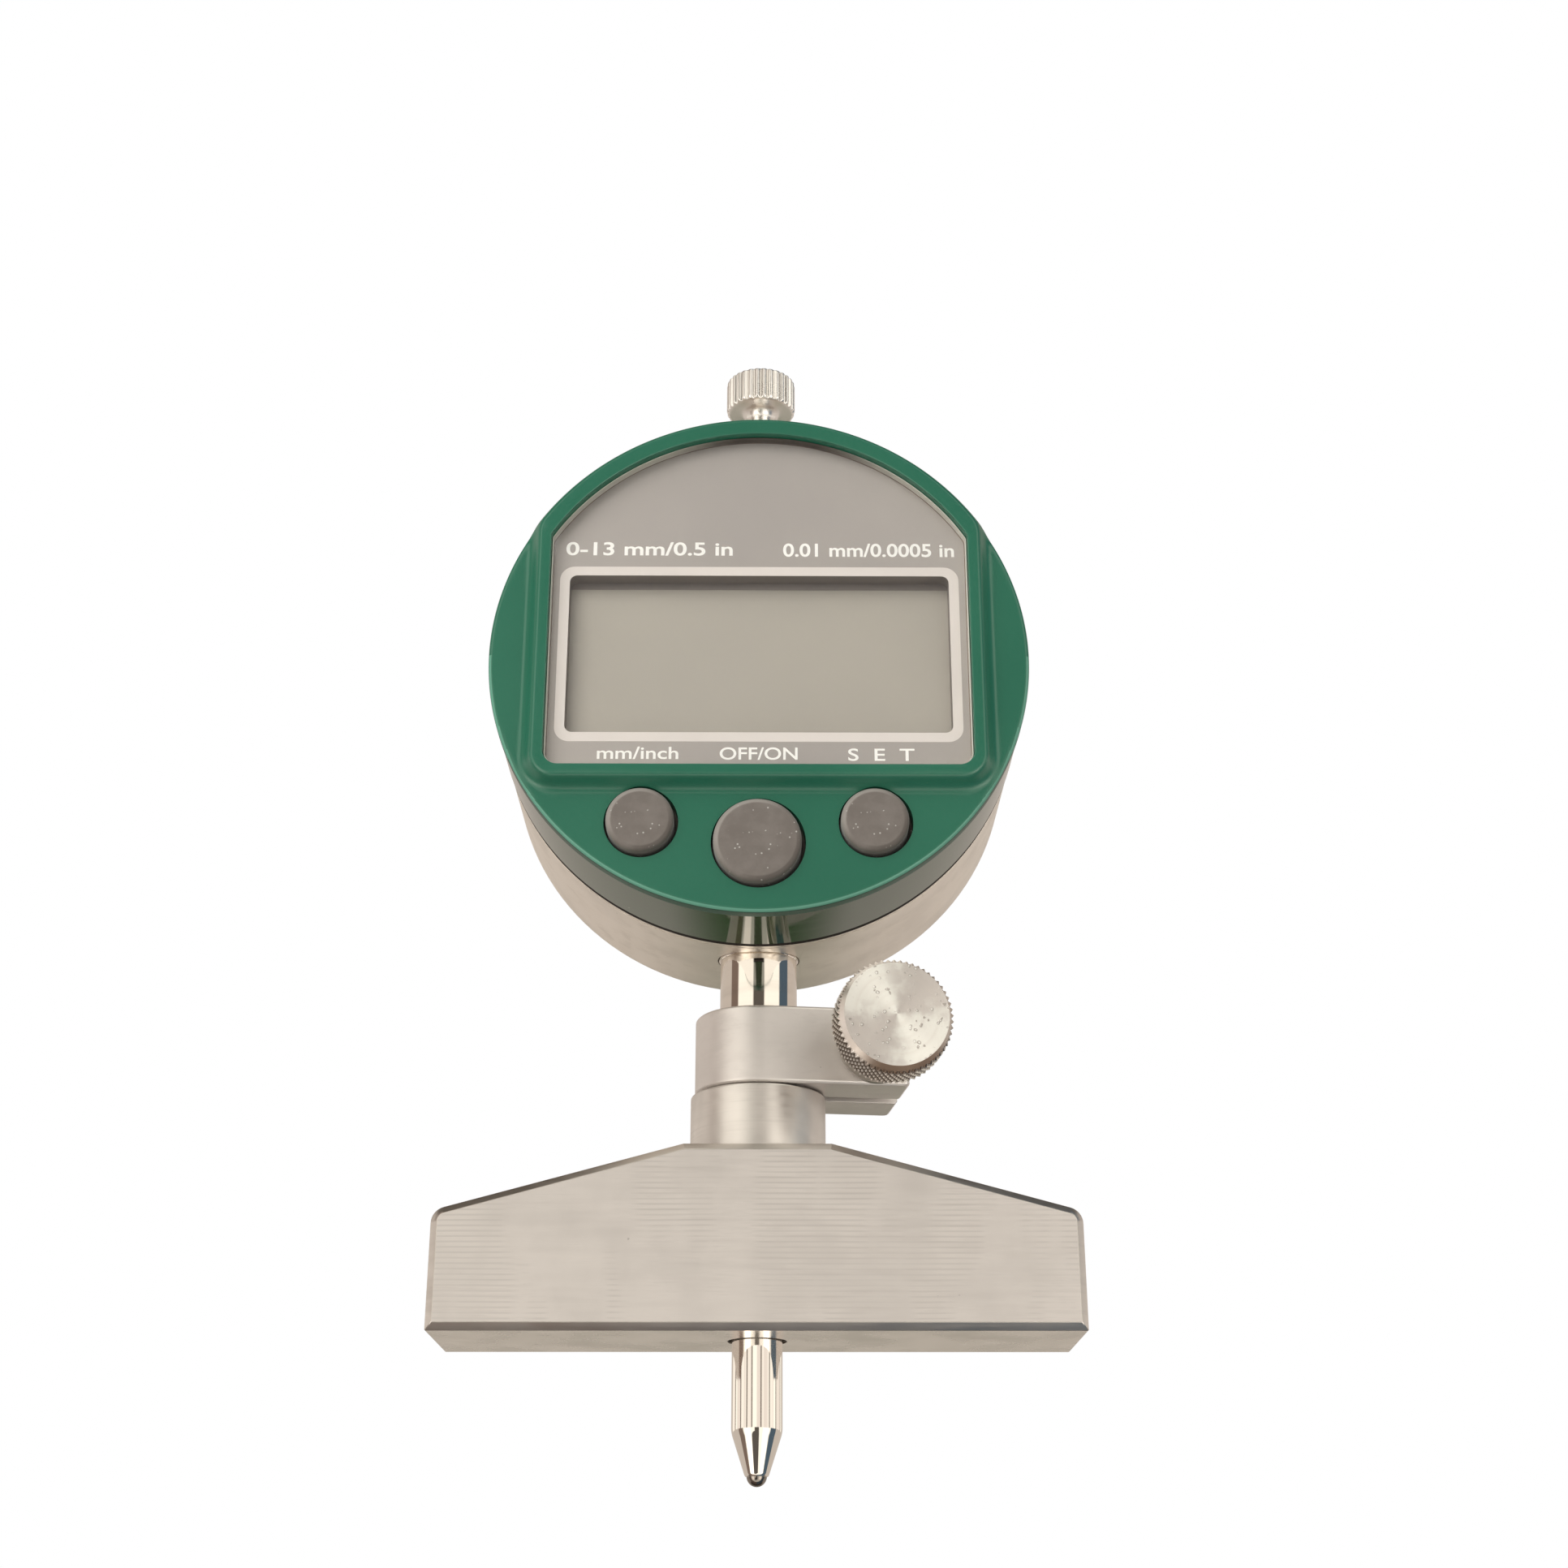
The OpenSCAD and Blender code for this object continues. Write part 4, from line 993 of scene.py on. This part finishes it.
def makeCover(shape):
    face, archFace, edge, slope = shape["face"], shape["archFace"], shape["edge"], shape["slope"]
    rise = face - archFace
    archReach = archOutline(shape["halfWidth"], shape["archRadius"], shape["drop"], shape["corner"], shape["shoulder"])
    pocket = panelOutline(panel["gap"])
    opening = windowGrown(window["coverGap"])

    def distanceOut(x, z):
        # Signed distance from the arch's front outline
        corner = shape["corner"]
        across = abs(x) - shape["halfWidth"] + corner
        down = -z - shape["drop"] + corner
        sides = math.hypot(max(across, 0), max(down, 0)) + min(max(across, down), 0) - corner
        return -softMin(-sides, shape["archRadius"] - math.hypot(x, z), shape["blend"])

    def height(angle, reach):
        # Height over the cover's face: the arch with its sloping wall, blended into the face
        wall = rise - rise * distanceOut(*onCircle(reach, angle)) / slope
        level = -softMin(-softMin(rise, wall, shape["crown"]), 0, shape["fillet"])
        over = max(reach - (coverRadius - edge), 0)
        return level - edge + math.sqrt(max(edge ** 2 - over ** 2, 0))

    # The grid is fine over the wall and round the rim
    innerSteps = [0.07 * step for step in range(32)] + [2.4, 2.7, 3.1, 3.6]
    outerSteps = [1.5, 1.0] + [round(0.5 - 0.5 * x, 4) for x, y in reversed(quarter(8))]
    span = innerSteps[-1] + outerSteps[0] + 0.1
    crest = rise - softMin(rise, rise + rise * shape["lead"] / slope, shape["crown"])
    rows = []
    for angle in angles:
        start = archReach(angle) - shape["lead"]
        share = min(1, (coverRadius - start) / span)
        reaches = [start + share * step for step in innerSteps] + [coverRadius - share * step for step in outerSteps]
        front = [(reach, face - height(angle, reach) - crest) for reach in reaches]
        rim, inner, hole = shape["rimEdge"], pocket(angle), opening(angle)
        lip = [(inner, panelHigh.y), (inner, archFace + rim)]
        lip += [(inner + rim * (1 - x), archFace + rim * (1 - y)) for x, y in quarter(4)[1:]]
        step = shape["back"] + shape["spigotDepth"]
        back = [
            (coverRadius, face + shape["rim"]), (shape["spigotRadius"], face + shape["rim"]),
            (shape["spigotRadius"], step), (shape["spigotInner"], step), (shape["spigotInner"], shape["back"]),
            (hole, shape["back"]), (hole, panelHigh.y)]
        rows.append([headPoint(reach, depth, angle) for reach, depth in lip + front + back])
    sharp = shape["sharpAngle"]
    mesh = stackedMesh(list(zip(*rows)), sharp, closed=True)
    piece = makePiece("frontCover", mesh, "head", "green_plastic", ["front_cover"], finish=greenCoverFinish())
    for button in buttons.values():
        place = facingFront((button["x"], 0, headZ + button["z"]))
        cutAway(piece, rodMesh(button["radius"] + buttonGap, 12, 21, 128), place, sharp)
    # Painted shade: the side wall takes a darker copy of the green. Painted highlight: the lower rounded edge takes a
    # lighter copy. Both show a painted glow in reflections
    for name, colour, roughness in sideShadeAndRimHighlight:
        plainPlastic(name, colour, roughness)
        piece.data.materials.append(paintedGlowInMirrors())
    for polygon in piece.data.polygons:
        down = headZ * mm - polygon.center.z
        reach = math.hypot(polygon.center.x, down)
        facing = abs(polygon.normal.y)
        if facing < shape["sideSlope"] and reach > (coverRadius - 0.1) * mm:
            polygon.material_index = 1
        elif facing < shape["rimSlope"] and reach > (coverRadius - edge) * mm and down > 0:
            polygon.material_index = 2
    evenNormals(piece)


def greenCoverFinish():
    # Spark-eroded moulded plastic: a fine even grain and a soft sheen, with a few dust specks
    startMaterial("greenCover")
    point = objectPoint()
    grain = noise(point, 5200.0, 3, 0.6)
    cloud = between(noise(point, 45.0, 2), 0.35, 0.65)
    specks = speckles(point, 420.0, (0.07, 0.04), 300.0, (0.66, 0.68))
    tint = layered((0.009, 0.146, 0.083), (cloud, (0.015, 0.163, 0.094)), (times(specks, 0.6), (0.45, 0.5, 0.42)))
    return setShader(tint, between(grain, 0.3, 0.7, 0.28, 0.38), {"IOR": 1.7, "Normal": bump(grain, 0.003)})


# A darker green for painted shade on the side wall and a lighter green for a painted highlight along the lower rim
sideShadeAndRimHighlight = [("coverSideShade", (0.009, 0.070, 0.040), 0.4), ("coverRimHighlight", (0.13, 0.37, 0.26), 0.35)]
makeCover(cover)
print("front cover done")

# The clear sheet, printed on its back, and the display seen through its window
display = {
    "windowWidth": 19.71,
    "windowHeight": 8.9,
    "windowCorner": 0.78,
    "windowShift": 0.35,
    "frameWidth": 20.74,
    "frameHeight": 9.93,
    "frameCorner": 1.55,
    "printFace": -17.36,
    "printRise": 0.012,
    "printDepth": 0.03,
    "lineWidth": 0.07,
    "sheetEdge": 0.12,
    "sheetSkin": 0.2,
    "glassFace": -15.5,
    "topStripHeight": 0.73,
    "topStripInset": 0.1,
    "topStripRise": 0.03,
    "glassGap": 0.02,
}


def headPlate(name, outer, inner, front, back, finish, slot, replaced=(), edge=0.01):
    # A flat ring between two outlines, with a small round on its front edges
    sections = [
        (outer, back), (outer, front + edge), (grown(outer, -edge), front), (grown(inner, edge), front),
        (inner, front + edge), (inner, back)]
    mesh = stackedMesh([headLoop(outline, depth) for outline, depth in sections], closed=True)
    makePiece(name, mesh, "head", slot, replaced, finish=finish, even=True)


def dustyFinish(name, dark, light, dust, cloud, specks, roughness):
    # A faintly cloudy face with a few dust specks on it
    startMaterial(name)
    point = objectPoint()
    tint = layered(dark, (between(noise(point, cloud, 3), 0.3, 0.7), light),
                   (times(speckles(point, *specks), 0.5), dust))
    return setShader(tint, roughness, {"Specular IOR Level": 0.3})


def clearFinish():
    # Clear plastic with faint wiping marks
    startMaterial("clearSheet")
    smear = noise(objectPoint((60, 60, 140)), 1.0, 3)
    return setShader((1, 1, 1), between(smear, 0.4, 0.8, 0.0, 0.03), {"IOR": 1.35, "Transmission Weight": 1.0})


def sheetEdgeFinish():
    # The sheet's cut edge: shaded at the top of the arch, pale towards its ends
    startMaterial("sheetEdge")
    across = calc("ABSOLUTE", calc("SUBTRACT", parts(objectPoint())[0], 0.002))
    tint = blend(between(across, 0.004, 0.014), (0.13, 0.105, 0.09), (0.80, 0.78, 0.68))
    return setShader(tint, 0.3)


whitePrint = plainPlastic("whitePrint", (0.75, 0.685, 0.62), 0.4, 0.0)
letterPrint = plainPlastic("letterPrint", (0.97, 0.95, 0.88), 0.4, 0.0)
edgeLine = plainPlastic("edgeLine", (0.16, 0.10, 0.07), 0.4, 0.0)
wallShade = plainPlastic("windowWall", (0.24, 0.205, 0.18), 0.5, 0.001)
darkTopStrip = plainPlastic("darkTopStrip", (0.26, 0.225, 0.20), 0.35, 0.0)
panelSheet = dustyFinish("panelSheet", (0.37, 0.335, 0.30), (0.41, 0.37, 0.33), (0.85, 0.8, 0.74), 32.0,
                         (520.0, (0.06, 0.03), 330.0, (0.64, 0.66)), 0.4)
displayFace = dustyFinish("displayFace", (0.395, 0.362, 0.302), (0.422, 0.385, 0.320), (0.9, 0.85, 0.75), 50.0,
                          (300.0, (0.035, 0.02), 170.0, (0.62, 0.64)), 0.35)


def makePanel(shape):
    outer, corner, shift = panelOutline(), shape["windowCorner"], shape["windowShift"]
    hole = windowOutline(shape["windowWidth"], shape["windowHeight"], corner, shift)
    frameOut = windowOutline(shape["frameWidth"], shape["frameHeight"], shape["frameCorner"], shift)
    within = grown(outer, -shape["sheetEdge"])
    face, rear, glass = shape["printFace"], panelHigh.y, shape["glassFace"]
    over, under = face - shape["printRise"], face + shape["printDepth"]
    line = grown(within, -shape["lineWidth"])
    headPlate("panelPrint", within, hole, face, rear, panelSheet, "panel_print", ["display_panel"])
    headPlate("sheetEdge", outer, within, panelLow.y, rear, sheetEdgeFinish(), "panel_print", edge=0.03)
    headPlate("edgeLine", within, line, over, under, edgeLine, "panel_print")
    headPlate("printedFrame", frameOut, hole, over, under, whitePrint, "panel_print")
    headPlate("windowWall", windowGrown(window["wall"]), grown(hole, -0.01), rear, glass + shape["glassGap"],
              wallShade, "dark_plastic", ["display_bezel"])
    glassLow, glassHigh = nodeBox("display_glass")
    plate = boxMesh((glassLow.x, glass, glassLow.z), glassHigh)
    makePiece("displayPlate", plate, "head", "display_glass", ["display_glass"], finish=displayFace)
    # A darker strip across the top of the display plate, just under the window's top edge
    top = headZ + shift + shape["windowHeight"]
    inset = shape["topStripInset"]
    strip = boxMesh((glassLow.x + inset, glass - shape["topStripRise"], top - shape["topStripHeight"]),
                    (glassHigh.x - inset, glass + 0.1, top + 0.3))
    makePiece("displayTopStrip", strip, "head", "display_glass", finish=darkTopStrip)
    loops = [headLoop(grown(outer, -0.02), panelLow.y + depth) for depth in (0.01, shape["sheetSkin"])]
    skin = makePiece("clearSheet", stackedMesh(loops), "head", "display_glass", finish=clearFinish())
    skin.visible_shadow = False


makePanel(display)

# Generic lettering, printed behind the sheet: words, left and right ends, lower edge, height, weight
lettering = [
    ("0-13 mm/0.5 in", -20.22, -2.81, 78.1, 1.55, 0.018),
    ("0.01 mm/0.0005 in", 2.47, 20.37, 78.0, 1.55, 0.018),
    ("mm/inch", -16.3, -8.1, 54.97, 1.36, 0.012),
    ("OFF/ON", -3.93, 3.92, 54.92, 1.36, 0.012),
    ("S  E  T", 9.02, 15.71, 54.82, 1.36, 0.012),
]
letterThickness = 0.002
fontCapHeight = 0.72


def makeLettering(rows):
    front = display["printFace"] - display["printRise"]
    for index, (words, left, right, low, tall, weight) in enumerate(rows):
        curve = bpy.data.curves.new("letters", "FONT")
        curve.body = words
        curve.extrude = letterThickness
        curve.offset = weight
        letters = bpy.data.objects.new("letters", curve)
        scene.collection.objects.link(letters)
        bpy.context.view_layer.update()
        mesh = bpy.data.meshes.new_from_object(letters)
        bpy.data.objects.remove(letters)
        across = [vertex.co.x for vertex in mesh.vertices]
        start, stretch = min(across), (right - left) / (max(across) - min(across))
        for vertex in mesh.vertices:
            x, up, depth = vertex.co
            place = (left + (x - start) * stretch, front - depth, low + up * tall / fontCapHeight)
            vertex.co = Vector(place) * mm
        makePiece("letters_%d" % (index + 1), mesh, "head", "panel_print", finish=letterPrint)


makeLettering(lettering)
print("panel, display and lettering done")

# Rubber buttons with softly domed faces
rubberButton = {
    "edge": 0.5,
    "dome": 0.12,
    "domePower": 2.4,
    "flange": 0.5,
    "flangeFront": -15.45,
    "flangeBack": -14.85,
    "stalk": 1.5,
}


def rubberFinish(radius):
    # Matte silicone rubber with dust and lint caught on it, and a painted highlight on the upper left of its rim with
    # painted shade on the lower right
    startMaterial("buttonRubber")
    point = objectPoint()
    specks = speckles(point, 1500.0, (0.17, 0.09), 700.0, (0.5, 0.54), 2)
    mottle = between(noise(point, 480.0, 4, 0.6), 0.3, 0.7)
    grain = noise(point, 6500.0, 3)
    x, y = parts(point)[:2]
    reach = length(x, y)
    rim = between(reach, (radius - 0.62) * mm, (radius - 0.4) * mm)
    slant = calc("DIVIDE", calc("SUBTRACT", y, x), reach)
    # Painted highlight on the upper left of the rim, and painted shade on the lower right
    light = times(rim, between(slant, -0.1, 1.2, 0.0, 0.75))
    paintedRimShade = times(rim, between(slant, -0.2, -1.3, 0.0, 0.6))
    tint = layered((0.185, 0.160, 0.140), (mottle, (0.225, 0.198, 0.175)), (light, (0.40, 0.365, 0.33)),
                   (paintedRimShade, (0.075, 0.062, 0.052)), (times(specks, 0.8), (0.62, 0.60, 0.55)))
    return setShader(tint, 0.58, {
        "Specular IOR Level": 0.4, "Sheen Weight": 0.3, "Sheen Roughness": 0.4,
        "Normal": bump(calc("ADD", grain, specks), 0.006)})


def makeButtons(shape):
    edge, dome, stalk = shape["edge"], shape["dome"], shape["stalk"]
    rear, behind = -shape["flangeBack"], -shape["flangeFront"]
    for node, button in buttons.items():
        low, high = nodeBox(node)
        radius, face = button["radius"], -low.y
        flange = radius + shape["flange"]
        profile = [(0, -high.y), (stalk, -high.y), (stalk, rear), (flange, rear), (flange, behind), (radius, behind)]
        profile += [(radius - edge + edge * x, face - dome - edge + edge * y) for x, y in quarter(8)]
        for step in range(1, 9):
            share = 1 - step / 8
            profile.append(((radius - edge) * share, face - dome * share ** shape["domePower"]))
        place = facingFront((button["x"] + buttonShift[0], 0, headZ + button["z"] + buttonShift[1]))
        makePiece(node + "Rubber", turnedMesh(profile, 96, sharpAngle=40), node.replace("button", "key"),
                  "grey_rubber", [node], place, rubberFinish(radius), even=True)


makeButtons(rubberButton)
print("buttons done")

# A near-black band, painted shade of the groove, and a bright metal edge fill the seam between the ring and the rear
# case
seam = {
    "shadeRadius": 27.62,
    "edgeRadius": 27.52,
    "thickness": 0.4,
    "round": 0.05,
    "front": -7.04,
    "middle": -6.15,
    "rear": -5.3,
    "gap": 0.08,
}
nodeEdges = {
    "rear_case": 0.25, "rear_cover": 0.3, "mounting_lug": 0.4, "battery_cap": 0.25, "stem": 0.15, "upper_bushing": 0.2}


def seamShadeFinish():
    # Near-black painted shade for the seam's groove, with a painted glow in reflections
    startMaterial("seamShade")
    setShader((0.012, 0.008, 0.006), 0.7, {"Specular IOR Level": 0.2})
    return paintedGlowInMirrors()


def makeSeam(shape):
    middle, gap, soft = shape["middle"], shape["gap"], shape["round"]
    rows = [("seamShade", shape["shadeRadius"], shape["front"], middle, "black_rubber", seamShadeFinish()),
            ("seamEdge", shape["edgeRadius"], middle + gap, shape["rear"] - gap, "satin_metal", None)]
    for name, radius, front, rear, slot, finish in rows:
        inner = radius - shape["thickness"]
        profile = rounded([(inner, -rear, 0), (radius, -rear, soft), (radius, -front, soft), (inner, -front, 0)])
        mesh = turnedMesh(profile, 480, closed=True)
        makePiece(name, mesh, "head", slot, place=facingFront((0, 0, headZ)), finish=finish)


def softenNodes(edges):
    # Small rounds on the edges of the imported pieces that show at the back, sides and top
    for name, width in edges.items():
        softenEdges(frame["nodes"][name], width, 40)


makeSeam(seam)
softenNodes(nodeEdges)
print("seam and rear pieces done")

# The lifting cap with straight rounded teeth, on the end of the spindle
capLow, capHigh = nodeBox("lifting_cap")
liftingCap = {
    "radius": 3.95,
    "teeth": 30,
    "toothDepth": 0.3,
    "toothPower": 1.6,
    "edge": 0.35,
    "lowerEdge": 0.45,
    "steps": 10,
    "fillet": 1.0,
    "neck": 1.42,
    "lowerFace": 0.75,
    "upperFace": 0.9,
    "dimple": 0.4,
    "sharpAngle": 50,
}
paleSteel = groundSteel("paleSteel", (0.96, 0.935, 0.90), (40, 40, 200), 0.30, 0.0001, 0.01)


def makeCap(shape):
    columns = shape["teeth"] * shape["steps"]
    radius, depth, tall = shape["radius"], shape["toothDepth"], capHigh.z - capLow.z
    neck, fillet, low, high = shape["neck"], shape["fillet"], shape["lowerEdge"], shape["edge"]
    # The profile's third value says whether the teeth are cut there
    profile = [(neck + fillet * (1 - x), fillet * (y - 1), False) for x, y in quarter(6)]
    profile.append((radius - shape["lowerFace"], 0.0, False))
    profile += [(radius - low * (1 - y), low * (1 - x), step > 0) for step, (x, y) in enumerate(quarter(6))]
    profile += [(radius - high * (1 - x), tall - high * (1 - y), step < 4) for step, (x, y) in enumerate(quarter(6))]
    profile += [(radius - shape["upperFace"], tall, False), (shape["dimple"], tall, False)]
    loops = []
    for reach, height, cut in profile:
        loop = []
        for column in range(columns):
            angle = 2 * math.pi * column / columns
            groove = (0.5 - 0.5 * math.cos(shape["teeth"] * angle)) ** shape["toothPower"] if cut else 1
            loop.append((*onCircle(min(reach, radius - depth * groove), angle), capLow.z + height))
        loops.append(loop)
    mesh = stackedMesh(loops, shape["sharpAngle"])
    makePiece("ribbedCap", mesh, "plunger", "turned_steel", ["lifting_cap"], finish=paleSteel, even=True)
    dressNode("spindle", paleSteel)


makeCap(liftingCap)
print("lifting cap done")

# The contact rod and its hard tip
rodTop = nodeBox("contact_rod")[1].z
contactRod = {
    "radius": 2.5,
    "shoulder": -8.65,
    "shoulderBlend": 0.144,
    "endRadius": 1.15,
    "end": -12.75,
    "endEdge": (0.06, 0.08),
    "coneSteps": 39,
    "pastShoulder": 1.2,
    "topChamfer": 0.3,
    "bore": 0.9,
}


def makeContactRod(shape):
    radius, endRadius, end, shoulder = (shape[name] for name in ("radius", "endRadius", "end", "shoulder"))
    slope, steps, top = (endRadius - radius) / (end - shoulder), shape["coneSteps"], shape["topChamfer"]
    across, along = shape["endEdge"]
    profile = [(shape["bore"], end), (endRadius - across, end), (endRadius, end + along)]
    for step in range(1, steps + 1):
        height = end + (shoulder - end + shape["pastShoulder"]) * step / steps
        profile.append((softMin(radius + slope * (height - shoulder), radius, shape["shoulderBlend"]), height))
    profile += [(radius, rodTop - top), (radius - top, rodTop), (0, rodTop)]
    makePiece("contactRod", turnedMesh(profile, 160), "plunger", "polished_steel", ["contact_rod"],
              finish=rodFinish(), even=True)


def rodFinish():
    # Chrome over lengthwise polishing
    startMaterial("chromeRod")
    streak = noise(objectPoint((1500, 1500, 12)), 1.0, 3)
    return setShader((0.87, 0.83, 0.77), between(streak, 0.35, 0.7, 0.03, 0.07), {
        "Metallic": 1.0, "Normal": bump(streak, 0.0012)})


makeContactRod(contactRod)
print("contact rod done")


def makeSpring():
    mesh = frame["nodes"]["return_spring"].data.copy()
    mesh.materials.clear()
    piece = makePiece("returnSpring", mesh, "head", "dark_steel", ["return_spring"])
    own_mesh(piece)


makeSpring()
print("spring done")
